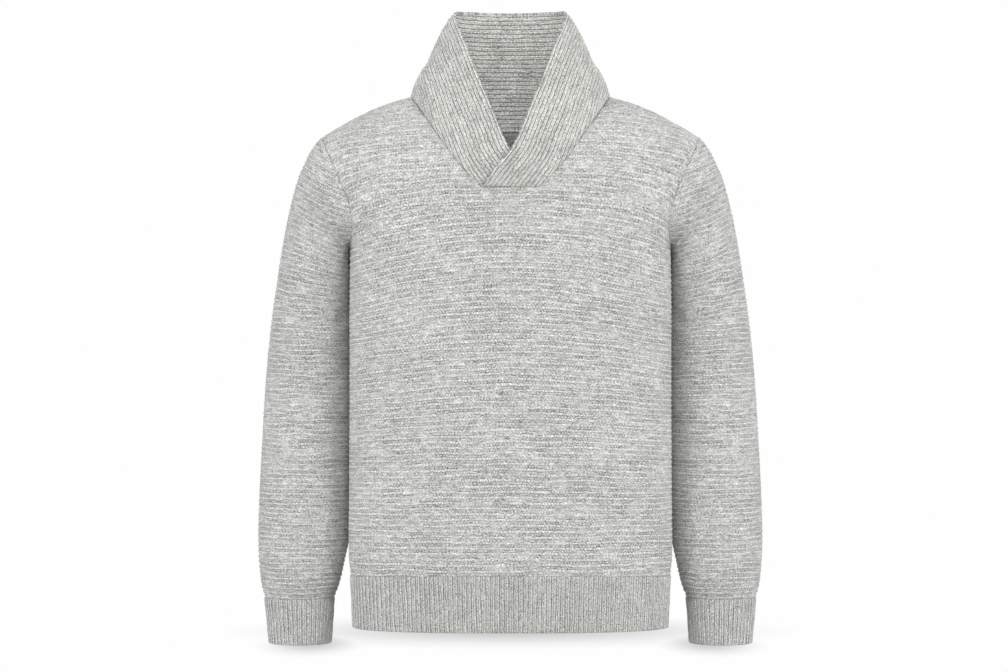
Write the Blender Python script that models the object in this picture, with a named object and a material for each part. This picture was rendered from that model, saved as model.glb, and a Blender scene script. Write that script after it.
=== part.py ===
"""Shawl collar sweater, filled out as when worn, with nobody in it.

Metres, +Z up, the front faces -Y. The origin is midway between the two points
where the shoulder seams meet the collar, which is where the wearer carries it.
Left and right are the viewer's, seen from the front.
"""

import bisect
import math

import bmesh
import bpy
from mathutils import Vector

# Cloth
BODY_WALL = 0.0024
COLLAR_WALL = 0.0030
RIB_HEIGHT = 0.0012
SEAM_GAP = 0.0003

# Body
SECTION_POWER = 2.5
SIDE_SEAM_Y = -0.025
RIDGE_Y = 0.008
RIDGE_ROUND = 0.120
HEM_SEAM_Z = -0.610
HEM_SEAM_RISE = 0.005
HEM_EDGE_Z = -0.6765

# Shoulders and armholes
TIP_X, TIP_Z = 0.242, -0.0505
SHOULDER_POWER = 1.45
ARMPIT_X, ARMPIT_Z = 0.2045, -0.195
ARMHOLE_POWER = 1.8
ARMHOLE_FRONT, ARMHOLE_BACK = 0.058, 0.056
ARMHOLE_WRAP = 0.6
ROW_LIFT_POWER = 1.2
ARMPIT_LEAN, ARMPIT_LEAN_ROWS = 1.0, 4
TIP_SHARE_LEAST = 0.0005

# Neck
NECK_X = 0.127
NECK_FOOT_X = 0.036
NECK_FRONT_DROP = 0.1205
NECK_FRONT_POWER = 1.2
NECK_BACK_DROP = 0.0385
NECK_BACK_POWER = 2.6

# Sleeves and ribs
SLEEVE_CLEARANCE = 0.003
SLEEVE_CLEARANCE_GROWTH = 0.15
CUFF_EDGE_Z = -0.700
COLLAR_LAP = COLLAR_WALL + RIB_HEIGHT + 0.0005
LAP_FULL_Z, LAP_NONE_Z = -0.071, -0.015
LAST_RIB_ROOM = 0.45

# Mesh fineness: intervals along each stretch
SHOULDER_STEPS, NECK_STEPS, FOOT_STEPS = 5, 10, 3
ROWS_BELOW, ROWS_ABOVE = 8, 11
HEM_COLUMNS_PER_PANEL_COLUMN = 5
CUFF_COLUMNS_PER_SLEEVE_COLUMN = 4
FOOT_SPLIT = 2
COLLAR_INNER_ROWS = 6
COLLAR_END_PLACE = 2.93

# z, half width, front depth (negative y), back depth (positive y)
BODY_SECTIONS = (
    (-0.6765, 0.2005, 0.1045, 0.1055),
    (-0.6100, 0.2035, 0.1080, 0.1085),
    (-0.5850, 0.2060, 0.1100, 0.1110),
    (-0.5000, 0.2055, 0.1105, 0.1095),
    (-0.3800, 0.2050, 0.1115, 0.1080),
    (-0.2600, 0.2050, 0.1135, 0.1110),
    (-0.1950, 0.2045, 0.1135, 0.1145),
    (-0.1200, 0.2045, 0.1100, 0.1150),
    (0.0000, 0.2045, 0.1050, 0.1080),
)

# place down the sleeve, then x, y, z of its outer and of its inner side, and half its depth
SLEEVE_SECTIONS = (
    (0, 0.2605, 0.003, -0.0760, 0.2050, -0.021, -0.1985, 0.0600),
    (1, 0.2735, 0.007, -0.1050, 0.2045, -0.014, -0.2040, 0.0620),
    (2, 0.2845, 0.012, -0.1450, 0.2030, -0.004, -0.2140, 0.0625),
    (3, 0.2935, 0.017, -0.1880, 0.2010, 0.007, -0.2310, 0.0620),
    (4, 0.3020, 0.022, -0.2400, 0.2000, 0.018, -0.2620, 0.0605),
    (5, 0.3105, 0.026, -0.3000, 0.2000, 0.025, -0.3150, 0.0590),
    (6, 0.3170, 0.028, -0.3700, 0.2000, 0.028, -0.3800, 0.0575),
    (7, 0.3210, 0.026, -0.4400, 0.2010, 0.026, -0.4450, 0.0555),
    (8, 0.3240, 0.021, -0.5050, 0.2030, 0.021, -0.5080, 0.0525),
    (9, 0.3250, 0.014, -0.5600, 0.2070, 0.014, -0.5610, 0.0490),
    (10, 0.3235, 0.009, -0.5950, 0.2135, 0.009, -0.5950, 0.0460),
    (11, 0.3205, 0.006, -0.6220, 0.2195, 0.006, -0.6220, 0.0430),
    (12, 0.3155, 0.004, -0.6410, 0.2265, 0.004, -0.6410, 0.0400),
)
SLEEVE_RINGS = 17
ELBOW_RING = 7
CUFF_EDGE = (0.3100, 0.002, CUFF_EDGE_Z, 0.2305, 0.002, CUFF_EDGE_Z, 0.0360)

# seam place (0 centre back, 1 shoulder seam, 2 corner of the front neck, 3 end of the strip),
# then the free edge's x, y, z and how far the cloth bows out between the edge and the seam
COLLAR_STATIONS = (
    (0.00, 0.0000, 0.0680, 0.1160, 0.005),
    (0.39, 0.0320, 0.0630, 0.1160, 0.007),
    (0.67, 0.0590, 0.0460, 0.1155, 0.011),
    (0.83, 0.0720, 0.0150, 0.1090, 0.015),
    (1.00, 0.0590, -0.0340, 0.0700, 0.015),
    (1.20, 0.0420, -0.0660, 0.0240, 0.010),
    (1.45, 0.0200, -0.0950, -0.0280, 0.005),
    (1.75, 0.0030, -0.1090, -0.0670, 0.0025),
    (2.00, -0.0125, -0.1130, -0.0885, 0.0015),
    (2.50, -0.0240, -0.1130, -0.1040, 0.0005),
    (3.00, -0.0360, -0.1110, -0.1200, 0.0000),
)
BOW_SAMPLES = 32
BOW_EDGE_POWER, BOW_SEAM_POWER = 0.75, 0.8

# seam place, pitch of the ribs: the folded sides are knitted tighter than the back
COLLAR_PITCHES = (
    (0.00, 0.0056),
    (0.40, 0.0055),
    (0.90, 0.0046),
    (1.30, 0.0048),
    (2.00, 0.0050),
    (3.00, 0.0050),
)

KNIT_COLOURS = {
    "body": (0.54, 0.54, 0.52),
    "rib": (0.48, 0.48, 0.47),
}


def lerp(a, b, share):
    return a + (b - a) * share


def clamp(value, low=0.0, high=1.0):
    return max(low, min(high, value))


def smooth(value):
    value = clamp(value)
    return value * value * (3 - 2 * value)


def signed_power(value, power):
    return math.copysign(abs(value) ** power, value)


def spline(table, place, column):
    """A smooth curve through one column of a table whose first column is its place."""
    places = [row[0] for row in table]
    place = clamp(place, places[0], places[-1])
    i = clamp(bisect.bisect_right(places, place) - 1, 0, len(table) - 2)

    def slope(k):
        low, high = max(k - 1, 0), min(k + 1, len(table) - 1)
        return (table[high][column] - table[low][column]) / (places[high] - places[low])

    step = places[i + 1] - places[i]
    t = (place - places[i]) / step
    start, end = table[i][column], table[i + 1][column]
    return (
        (2 * t**3 - 3 * t**2 + 1) * start
        + (t**3 - 2 * t**2 + t) * step * slope(i)
        + (3 * t**2 - 2 * t**3) * end
        + (t**3 - t**2) * step * slope(i + 1)
    )


# The body's form


def shoulder_z(x):
    """Height of the shoulder line above a point; level between the shoulder seams."""
    share = clamp((abs(x) - NECK_X) / (TIP_X - NECK_X), 0.0, 2.0)
    return TIP_Z * share**SHOULDER_POWER


def neck_z(x, front):
    x = abs(x)
    if front:
        share = clamp((x - NECK_FOOT_X) / (NECK_X - NECK_FOOT_X))
        return -NECK_FRONT_DROP * (1 - share**NECK_FRONT_POWER)
    return -NECK_BACK_DROP * (1 - (x / NECK_X) ** NECK_BACK_POWER)


def top_z(x, front):
    return neck_z(x, front) if abs(x) < NECK_X else shoulder_z(x)


def ridge_share(drop):
    """How much of its full depth the body has this far below the shoulder line."""
    rest = 1 - clamp(drop / RIDGE_ROUND)
    return math.sqrt(1 - rest * rest)


def depth_at(z, middle_y, front):
    """Depth of the body's face at its centre line, measured from middle_y."""
    if front:
        return spline(BODY_SECTIONS, z, 2) + middle_y
    return spline(BODY_SECTIONS, z, 3) - middle_y


def body_side_x(y, z):
    """Half width of the body's outer face at this depth, below the armhole."""
    half_width = spline(BODY_SECTIONS, z, 1)
    full = depth_at(z, SIDE_SEAM_Y, front=y < SIDE_SEAM_Y)
    share = clamp(abs(y - SIDE_SEAM_Y) / full)
    return half_width * (1 - share**SECTION_POWER) ** (1 / SECTION_POWER)


def armhole(angle, front):
    """The armhole's edge at positive x: angle 0 is the shoulder's tip, pi the armpit."""
    z = lerp(TIP_Z, ARMPIT_Z, (1 - math.cos(angle)) / 2)
    rise = (z - ARMPIT_Z) / (TIP_Z - ARMPIT_Z)
    middle = lerp(SIDE_SEAM_Y, RIDGE_Y, (1 + math.cos(angle)) / 2)
    reach = -ARMHOLE_FRONT if front else ARMHOLE_BACK
    y = middle + reach * math.sin(angle)
    foot_x = lerp(ARMPIT_X, body_side_x(y, ARMPIT_Z), ARMHOLE_WRAP)
    return Vector((lerp(foot_x, TIP_X, rise**ARMHOLE_POWER), y, z))


def row_form(side_z, front):
    """Half width of the row's full oval, the angle at which it stops, and its middle y."""
    if side_z <= ARMPIT_Z:
        return spline(BODY_SECTIONS, side_z, 1), math.pi / 2, SIDE_SEAM_Y
    share = clamp((TIP_Z - side_z) / (TIP_Z - ARMPIT_Z), TIP_SHARE_LEAST)
    angle = math.acos(1 - 2 * share)
    edge = armhole(angle, front)
    middle = lerp(SIDE_SEAM_Y, RIDGE_Y, (1 + math.cos(angle)) / 2)
    full = depth_at(edge.z, middle, front) * ridge_share(shoulder_z(edge.x) - edge.z)
    stop = math.acos(clamp(abs(edge.y - middle) / full) ** (SECTION_POWER / 2))
    return edge.x / math.sin(stop) ** (2 / SECTION_POWER), stop, middle


def even_angles(half_width, depth, samples=400):
    """Angles of a quarter oval at equal steps of its length, as a function of the share."""
    lengths, last = [0.0], None
    for i in range(samples + 1):
        angle = math.pi / 2 * i / samples
        x = half_width * math.sin(angle) ** (2 / SECTION_POWER)
        y = depth * abs(math.cos(angle)) ** (2 / SECTION_POWER)
        if last:
            lengths.append(lengths[-1] + math.hypot(x - last[0], y - last[1]))
        last = (x, y)

    def angle_at(share):
        wanted = abs(share) * lengths[-1]
        i = clamp(bisect.bisect_left(lengths, wanted) - 1, 0, samples - 1)
        part = (wanted - lengths[i]) / (lengths[i + 1] - lengths[i])
        return math.copysign(math.pi / 2 * (i + part) / samples, share)

    return angle_at


def top_x_of(share):
    """The x at which a column that leaves the hem at this share of the width ends."""
    steps = abs(share) * (FOOT_STEPS / 2 + NECK_STEPS + SHOULDER_STEPS)
    if steps <= FOOT_STEPS / 2:
        x = NECK_FOOT_X * steps / (FOOT_STEPS / 2)
    elif steps <= FOOT_STEPS / 2 + NECK_STEPS:
        x = lerp(NECK_FOOT_X, NECK_X, (steps - FOOT_STEPS / 2) / NECK_STEPS)
    else:
        x = lerp(NECK_X, TIP_X, (steps - FOOT_STEPS / 2 - NECK_STEPS) / SHOULDER_STEPS)
    return math.copysign(x, share)


def panel_surface(front):
    """The outer face of the front or back: (share of the width, share of the height) to a point."""
    hem_width, _, hem_middle = row_form(HEM_SEAM_Z, front)
    hem_angle = even_angles(hem_width, depth_at(HEM_SEAM_Z, hem_middle, front))
    tip_width, tip_stop, _ = row_form(TIP_Z, front)
    facing = -1 if front else 1

    def point(across, up):
        side_z = lerp(HEM_SEAM_Z, TIP_Z, up)
        half_width, stop, middle = row_form(side_z, front)
        top_x = top_x_of(across)
        low = hem_angle(across) / (math.pi / 2)
        high = math.asin((abs(top_x) / tip_width) ** (SECTION_POWER / 2)) / tip_stop
        angle = lerp(low, math.copysign(high, across), smooth(up)) * stop
        hem_fullness = abs(math.cos(hem_angle(across))) ** (2 / SECTION_POWER)
        hem_z = HEM_SEAM_Z + HEM_SEAM_RISE * hem_fullness**2
        lift = clamp((side_z - ARMPIT_Z) / (TIP_Z - ARMPIT_Z)) ** ROW_LIFT_POWER
        z = lerp(hem_z, TIP_Z, up) + (top_z(top_x, front) - TIP_Z) * lift
        x = half_width * signed_power(math.sin(angle), 2 / SECTION_POWER)
        fullness = abs(math.cos(angle)) ** (2 / SECTION_POWER)
        depth = depth_at(z, middle, front) * fullness * ridge_share(shoulder_z(x) - z)
        return Vector((x, middle + facing * depth, z))

    return point


# Grids, walls and meshes


def grid_normals(grid, outward, around=False):
    """A unit normal at each point of a grid of rows, on the side that outward(r, c) points to."""
    rows, columns = len(grid), len(grid[0])
    normals = []
    for r in range(rows):
        line = []
        for c in range(columns):
            left = grid[r][(c - 1) % columns] if around else grid[r][max(c - 1, 0)]
            right = grid[r][(c + 1) % columns] if around else grid[r][min(c + 1, columns - 1)]
            up = grid[min(r + 1, rows - 1)][c] - grid[max(r - 1, 0)][c]
            normal = (right - left).cross(up).normalized()
            line.append(normal if normal.dot(outward(r, c)) > 0 else -normal)
        normals.append(line)
    return normals


def offset_grid(grid, normals, distance):
    return [
        [point - normal * distance for point, normal in zip(row, line)]
        for row, line in zip(grid, normals)
    ]


def sheet_faces(rows, columns, first=0):
    return [
        (
            first + r * columns + c,
            first + r * columns + c + 1,
            first + (r + 1) * columns + c + 1,
            first + (r + 1) * columns + c,
        )
        for r in range(rows - 1)
        for c in range(columns - 1)
    ]


def rim_faces(points, a, b, inner_b, inner_a):
    """Two triangles across a wall's rim, cut the same way on both sides of a seam."""
    def height(i):
        return abs(points[i].x) + 0.5 * points[i].z

    if height(a) > height(b):
        return [(a, b, inner_b), (a, inner_b, inner_a)]
    return [(a, b, inner_a), (b, inner_b, inner_a)]


def panel_wall(outer, inner):
    """Points and faces of a closed wall between two open grids of the same size."""
    rows, columns = len(outer), len(outer[0])
    count = rows * columns
    points = [p for row in outer for p in row] + [p for row in inner for p in row]
    faces = sheet_faces(rows, columns) + sheet_faces(rows, columns, count)
    rim = list(range(columns))
    rim += [r * columns + columns - 1 for r in range(1, rows)]
    rim += [(rows - 1) * columns + c for c in range(columns - 2, -1, -1)]
    rim += [r * columns for r in range(rows - 2, 0, -1)]
    for a, b in zip(rim, rim[1:] + rim[:1]):
        faces += rim_faces(points, a, b, b + count, a + count)
    return points, faces


def ring_faces(rings, around, first=0):
    faces = []
    for r in range(rings - 1):
        for c in range(around):
            d = (c + 1) % around
            low, high = first + r * around, first + (r + 1) * around
            faces.append((low + c, low + d, high + d, high + c))
    return faces


def tube_wall(outer, inner):
    """A closed wall between two rows of rings. Each inner segment backs several outer ones."""
    wide, narrow = len(outer[0]), len(inner[0])
    split = wide // narrow
    points = [p for ring in outer for p in ring] + [p for ring in inner for p in ring]
    first = len(outer) * wide
    faces = ring_faces(len(outer), wide) + ring_faces(len(inner), narrow, first)
    last_outer, last_inner = first - wide, len(points) - narrow
    for c in range(narrow):
        d = (c + 1) % narrow
        run = [(c * split + k) % wide for k in range(split + 1)]
        if split == 1:
            faces += rim_faces(points, c, d, first + d, first + c)
        else:
            faces.append(tuple(run) + (first + d, first + c))
        faces.append(tuple(last_outer + k for k in run) + (last_inner + d, last_inner + c))
    return points, faces


def column_faces(columns, first):
    """Faces between neighbouring columns, whose lengths may differ; the last points always join."""
    faces, a = [], first
    for one, other in zip(columns, columns[1:]):
        b = a + len(one)
        last_a, last_b = len(one) - 1, len(other) - 1
        shared = min(last_a, last_b) - 1
        for k in range(shared):
            faces.append((a + k, a + k + 1, b + k + 1, b + k))
        if last_a == last_b:
            faces.append((a + shared, a + last_a, b + last_b, b + shared))
        elif last_a > last_b:
            faces.append((a + shared, b + last_b, b + shared))
            faces += [(a + k, a + k + 1, b + last_b) for k in range(shared, last_a)]
        else:
            faces.append((a + shared, a + last_a, b + shared))
            faces += [(a + last_a, b + k + 1, b + k) for k in range(shared, last_b)]
        a = b
    return faces


def strip_wall(outer, inner):
    """A closed wall between two lists of columns that share their number but not their lengths."""
    points = [p for column in outer for p in column]
    first = len(points)
    points += [p for column in inner for p in column]
    faces = column_faces(outer, 0) + column_faces(inner, first)
    outer_starts, inner_starts = [0], [first]
    for one, other in zip(outer, inner):
        outer_starts.append(outer_starts[-1] + len(one))
        inner_starts.append(inner_starts[-1] + len(other))
    for i in range(len(outer) - 1):
        a, b, c, d = outer_starts[i], outer_starts[i + 1], inner_starts[i + 1], inner_starts[i]
        faces.append((a, b, c, d))
        ends = (b - 1, outer_starts[i + 2] - 1, inner_starts[i + 2] - 1, c - 1)
        faces += rim_faces(points, *ends)
    for i in (0, len(outer) - 1):
        outside = range(outer_starts[i], outer_starts[i + 1])
        inside = range(inner_starts[i], inner_starts[i + 1])
        faces.append(tuple(outside) + tuple(reversed(inside)))
    return points, faces


def knit_material(name, colour):
    material = bpy.data.materials.new(name)
    material.use_nodes = True
    shader = material.node_tree.nodes["Principled BSDF"]
    shader.inputs["Base Color"].default_value = (*colour, 1.0)
    shader.inputs["Roughness"].default_value = 0.9
    shader.inputs["Metallic"].default_value = 0.0
    material.diffuse_color = (*colour, 1.0)
    return material


def add_piece(name, points, faces, colour):
    mesh = bpy.data.meshes.new(name)
    mesh.from_pydata([tuple(p) for p in points], [], faces)
    shape = bmesh.new()
    shape.from_mesh(mesh)
    bmesh.ops.recalc_face_normals(shape, faces=shape.faces)
    shape.to_mesh(mesh)
    shape.free()
    mesh.materials.append(knit_material(name + "_knit", KNIT_COLOURS[colour]))
    mesh.shade_smooth()
    mesh.set_sharp_from_angle(angle=math.radians(30))
    piece = bpy.data.objects.new(name, mesh)
    bpy.context.scene.collection.objects.link(piece)
    return piece


# Front and back


def column_shares():
    count = FOOT_STEPS + 2 * (NECK_STEPS + SHOULDER_STEPS)
    return [2 * c / count - 1 for c in range(count + 1)]


def row_shares():
    """Shares of the side's height: even below the armpit, round the armhole above it."""
    armpit = (ARMPIT_Z - HEM_SEAM_Z) / (TIP_Z - HEM_SEAM_Z)
    below = [armpit * r / ROWS_BELOW for r in range(ROWS_BELOW)]
    turn = [math.pi * r / ROWS_ABOVE for r in range(ROWS_ABOVE + 1)]
    return below + [lerp(armpit, 1.0, (1 - math.cos(angle)) / 2) for angle in turn]


def make_panel(front):
    """The outer and inner grids of the front or back, hem first, left to right."""
    surface = panel_surface(front)
    outer = [[surface(across, up) for across in column_shares()] for up in row_shares()]
    facing = -1 if front else 1
    normals = grid_normals(outer, lambda r, c: Vector((outer[r][c].x, facing, 0.0)))
    for normal in normals[0]:
        normal.z = 0.0
        normal.normalize()
    top = len(outer) - 1
    for r in range(top + 1):
        for c in range(len(outer[0])):
            on_side = c in (0, len(outer[0]) - 1) and r <= ROWS_BELOW
            on_shoulder = r == top and abs(outer[r][c].x) >= NECK_X - 1e-6
            if on_side or on_shoulder:
                outer[r][c].y += facing * SEAM_GAP / 2
                normals[r][c].y = 0.0
                normals[r][c].normalize()
            if on_shoulder and normals[r][c].z < 0:
                normals[r][c] = -normals[r][c]
            if c in (0, len(outer[0]) - 1) and r >= ROWS_BELOW:
                lean = clamp(1 - (r - ROWS_BELOW) / ARMPIT_LEAN_ROWS)
                normals[r][c].z -= ARMPIT_LEAN * lean
                normals[r][c].normalize()
    return outer, offset_grid(outer, normals, BODY_WALL)


# Sleeves and cuffs. Each sleeve is one knitted piece. Its wall is made as two tubes that
# meet at the elbow, so that each tube is nearly straight.


def sleeve_section(share):
    place = share * SLEEVE_SECTIONS[-1][0]
    return [spline(SLEEVE_SECTIONS, place, column) for column in range(1, 8)]


def sleeve_ring(section, angles):
    outer_side, inner_side, half_depth = Vector(section[:3]), Vector(section[3:6]), section[6]
    ring = []
    for angle in angles:
        x, y, z = outer_side.lerp(inner_side, (1 - math.cos(angle)) / 2)
        y -= half_depth * math.sin(angle)
        if z < ARMPIT_Z:
            grown = (ARMPIT_Z - z) * SLEEVE_CLEARANCE_GROWTH + SEAM_GAP
            room = min(SLEEVE_CLEARANCE, grown)
            x = max(x, body_side_x(y, z) + room)
        ring.append(Vector((x, y, z)))
    return ring


def armhole_ring(front_edges, back_edges):
    """The armhole's edge as one ring, tip first, down the front and up the back."""
    down = list(reversed(front_edges))
    up = list(back_edges)
    tip = (down[0] + up[-1]) / 2
    armpit = (down[-1] + up[0]) / 2
    return [tip] + down[1:-1] + [armpit] + up[1:-1]


def shifted_across(outer_ring, inner_ring, distance):
    """Both edges of the armhole moved out from the body, square to the seam's own face."""
    count = len(outer_ring)
    moved = ([], [])
    for i in range(count):
        along = outer_ring[(i + 1) % count] - outer_ring[i - 1]
        across = along.cross(inner_ring[i] - outer_ring[i]).normalized()
        if across.x < 0:
            across = -across
        moved[0].append(outer_ring[i] + across * distance)
        moved[1].append(inner_ring[i] + across * distance)
    return moved


def make_sleeve(outer_edge, inner_edge):
    """The right-hand sleeve's grids of rings, from the armhole's two edge rings."""
    steps = len(outer_edge)
    angles = [2 * math.pi * i / steps for i in range(steps)]
    rings = [sleeve_ring(sleeve_section(k / (SLEEVE_RINGS - 1)), angles) for k in range(SLEEVE_RINGS)]
    first, first_inner = shifted_across(outer_edge, inner_edge, SEAM_GAP)
    outer = [first] + rings
    centres = [sum(ring, Vector()) / steps for ring in outer]
    normals = grid_normals(outer, lambda r, c: outer[r][c] - centres[r], around=True)
    inner = [first_inner] + offset_grid(outer, normals, BODY_WALL)[1:-1]
    return outer, inner + [level_inset(outer[-1], BODY_WALL)]


def cut_at_elbow(rings):
    """The rings above the elbow and those below it, a seam's gap apart."""
    below = rings[ELBOW_RING:]
    start = [a + (b - a).normalized() * SEAM_GAP for a, b in zip(below[0], below[1])]
    return rings[:ELBOW_RING + 1], [start] + below[1:]


def split_ring(ring, parts):
    """The ring with each segment cut into equal parts."""
    count = len(ring)
    return [
        ring[i].lerp(ring[(i + 1) % count], k / parts) for i in range(count) for k in range(parts)
    ]


def level_normals(ring):
    """Unit normals of a ring in its own level, pointing out."""
    centre = sum(ring, Vector()) / len(ring)
    normals = []
    for i, point in enumerate(ring):
        along = ring[(i + 1) % len(ring)] - ring[i - 1]
        normal = Vector((along.y, -along.x, 0.0)).normalized()
        normals.append(normal if normal.dot(point - centre) > 0 else -normal)
    return normals


def level_inset(ring, distance):
    return [point - normal * distance for point, normal in zip(ring, level_normals(ring))]


def ribbed(ring, split):
    """The ring cut finer, with every second point moved out."""
    fine = split_ring(ring, split)
    heights = (0.0, RIB_HEIGHT)
    return [p + n * heights[i % 2] for i, (p, n) in enumerate(zip(fine, level_normals(fine)))]


def rib_band(top_outer, top_inner, bottom_outer, split):
    """A ribbed tube that hangs the seam's gap below two edge rings."""
    drop = Vector((0.0, 0.0, SEAM_GAP))
    top_outer = [p - drop for p in top_outer]
    top_inner = [p - drop for p in top_inner]
    bottom_inner = level_inset(bottom_outer, BODY_WALL)
    middle_outer = [a.lerp(b, 0.5) for a, b in zip(top_outer, bottom_outer)]
    middle_inner = [a.lerp(b, 0.5) for a, b in zip(top_inner, bottom_inner)]
    outer = [ribbed(ring, split) for ring in (bottom_outer, middle_outer, top_outer)]
    return tube_wall(outer, [bottom_inner, middle_inner, top_inner])


def mirrored(grid):
    return [[Vector((-p.x, p.y, p.z)) for p in row] for row in grid]


# Hem band


def oval_row(z, front):
    """Points of the body's section at this height, one for each column of a panel."""
    half_width, depth = spline(BODY_SECTIONS, z, 1), depth_at(z, SIDE_SEAM_Y, front)
    angle_at = even_angles(half_width, depth)
    facing = -1 if front else 1
    row = []
    for share in column_shares():
        angle = angle_at(share)
        x = half_width * signed_power(math.sin(angle), 2 / SECTION_POWER)
        y = depth * abs(math.cos(angle)) ** (2 / SECTION_POWER)
        row.append(Vector((x, SIDE_SEAM_Y + facing * y, z)))
    return row


def closed_ring(front_row, back_row):
    """One ring from the two panels' rows, which meet at the side seams."""
    left = (front_row[0] + back_row[0]) / 2
    right = (front_row[-1] + back_row[-1]) / 2
    return [left] + front_row[1:-1] + [right] + list(reversed(back_row))[1:-1]


# Collar


def neck_edge(panel_row):
    return panel_row[SHOULDER_STEPS:len(panel_row) - SHOULDER_STEPS]


def seam_run(points, start, end, split=1):
    """Places and points along a line of the seam, each of its segments cut into equal parts."""
    count = (len(points) - 1) * split
    return [
        (lerp(start, end, k / count), points[k // split].lerp(points[k // split + 1], k % split / split))
        for k in range(count)
    ]


def seam_line(front_row, back_row):
    """The strip's seam, as (place, point), from its left end to its right end.

    The left end starts near the far corner of the front neck's foot, behind the
    right one, and the strip then runs up the left side, round the back and down
    the right side to end near the left corner of the foot.
    """
    front, back = neck_edge(front_row), neck_edge(back_row)
    left = front[:NECK_STEPS + 1]
    foot = front[NECK_STEPS:NECK_STEPS + FOOT_STEPS + 1]
    right = front[NECK_STEPS + FOOT_STEPS:]
    left[0] = (left[0] + back[0]) / 2
    right[-1] = (right[-1] + back[-1]) / 2
    rear = [left[0]] + back[1:-1] + [right[-1]]
    line = seam_run(foot[::-1], -3.0, -2.0, FOOT_SPLIT)
    line += seam_run(left[::-1], -2.0, -1.0)
    line += [(point.x / NECK_X, point) for point in rear[:-1]]
    line += seam_run(right[::-1], 1.0, 2.0)
    line += seam_run(foot[::-1], 2.0, 3.0, FOOT_SPLIT)
    step = 1.0 / (FOOT_STEPS * FOOT_SPLIT)
    blunt = (3.0 - COLLAR_END_PLACE) / step
    line[0] = (-COLLAR_END_PLACE, line[0][1].lerp(line[1][1], blunt))
    line.append((COLLAR_END_PLACE, foot[0].lerp(line[-1][1], blunt)))
    return line


def lap_offset(point, place):
    """How far the strip moves forward (negative y) or back where its two ends lap."""
    if abs(place) <= 1:
        return 0.0
    along = clamp((point.x + NECK_FOOT_X) / (2 * NECK_FOOT_X))
    height = smooth((LAP_NONE_Z - point.z) / (LAP_NONE_Z - LAP_FULL_Z))
    share = along - 1 if place > 0 else along
    return COLLAR_LAP * share * height


def bow_shape(t):
    """How much of its full bow the strip has at this share of the way from edge to seam."""
    fullest = BOW_EDGE_POWER / (BOW_EDGE_POWER + BOW_SEAM_POWER)
    peak = fullest**BOW_EDGE_POWER * (1 - fullest) ** BOW_SEAM_POWER
    return t**BOW_EDGE_POWER * (1 - t) ** BOW_SEAM_POWER / peak


def collar_profile(place, seam_point, edge_slope):
    """The strip's outer face from its free edge to the seam, as points and their distances."""
    side = 1 if place >= 0 else -1
    edge = Vector([spline(COLLAR_STATIONS, abs(place), column) for column in (1, 2, 3)])
    edge.x *= side
    bow = spline(COLLAR_STATIONS, abs(place), 4)
    chord = seam_point - edge
    outward = edge_slope.cross(chord).normalized()
    if outward.dot(Vector((seam_point.x, seam_point.y, 0.0))) < 0:
        outward = -outward
    points = []
    for i in range(BOW_SAMPLES + 1):
        t = i / BOW_SAMPLES
        point = edge + chord * t + outward * bow * bow_shape(t)
        point.y += lap_offset(point, place)
        points.append(point)
    distances = [0.0]
    for a, b in zip(points, points[1:]):
        distances.append(distances[-1] + (b - a).length)
    return points, distances


def at_distance(points, distances, wanted):
    i = clamp(bisect.bisect_right(distances, wanted) - 1, 0, len(points) - 2)
    part = (wanted - distances[i]) / (distances[i + 1] - distances[i])
    return points[i].lerp(points[i + 1], part)


def edge_point(place):
    side = 1 if place >= 0 else -1
    x, y, z = (spline(COLLAR_STATIONS, abs(place), column) for column in (1, 2, 3))
    return Vector((side * x, y, z))


def make_collar(outer_line, inner_line):
    """Columns of the strip from its left end to its right end.

    Each column has the rows of half ribs that fit between the edge and the seam,
    then one point on the seam. The inner columns are plain.
    """
    outer_columns, inner_columns = [], []
    count = len(outer_line)
    for i in range(count):
        place, seam_outer = outer_line[i]
        step = spline(COLLAR_PITCHES, abs(place), 1) / 2
        seam_inner = inner_line[i][1]
        before, after = outer_line[max(i - 1, 0)], outer_line[min(i + 1, count - 1)]
        edge_slope = edge_point(after[0]) - edge_point(before[0])
        seam_slope = after[1] - before[1]
        points, distances = collar_profile(place, seam_outer, edge_slope + seam_slope)
        width = distances[-1]

        def normal_at(distance):
            low = at_distance(points, distances, clamp(distance - step, 0, width))
            high = at_distance(points, distances, clamp(distance + step, 0, width))
            slope = edge_slope.lerp(seam_slope, distance / width)
            normal = slope.cross(high - low).normalized()
            middle = at_distance(points, distances, distance)
            return normal if normal.dot(Vector((middle.x, middle.y, 0))) > 0 else -normal

        outer, k = [], 0
        while k == 0 or k * step < width - step * LAST_RIB_ROOM:
            point = at_distance(points, distances, k * step)
            raised = RIB_HEIGHT if k % 2 else 0.0
            outer.append(point + normal_at(k * step) * raised)
            k += 1
        inner = []
        for k in range(COLLAR_INNER_ROWS):
            distance = width * (1 - math.cos(math.pi * k / COLLAR_INNER_ROWS)) / 2
            inner.append(at_distance(points, distances, distance) - normal_at(distance) * COLLAR_WALL)
        rim = seam_inner - seam_outer
        across = (after[1] - before[1]).cross(rim).normalized()
        if across.dot(points[-2] - points[-1]) < 0:
            across = -across
        outer.append(points[-1] + across * SEAM_GAP)
        inner.append(points[-1] + rim + across * SEAM_GAP)
        outer_columns.append(outer)
        inner_columns.append(inner)
    return outer_columns, inner_columns


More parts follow.
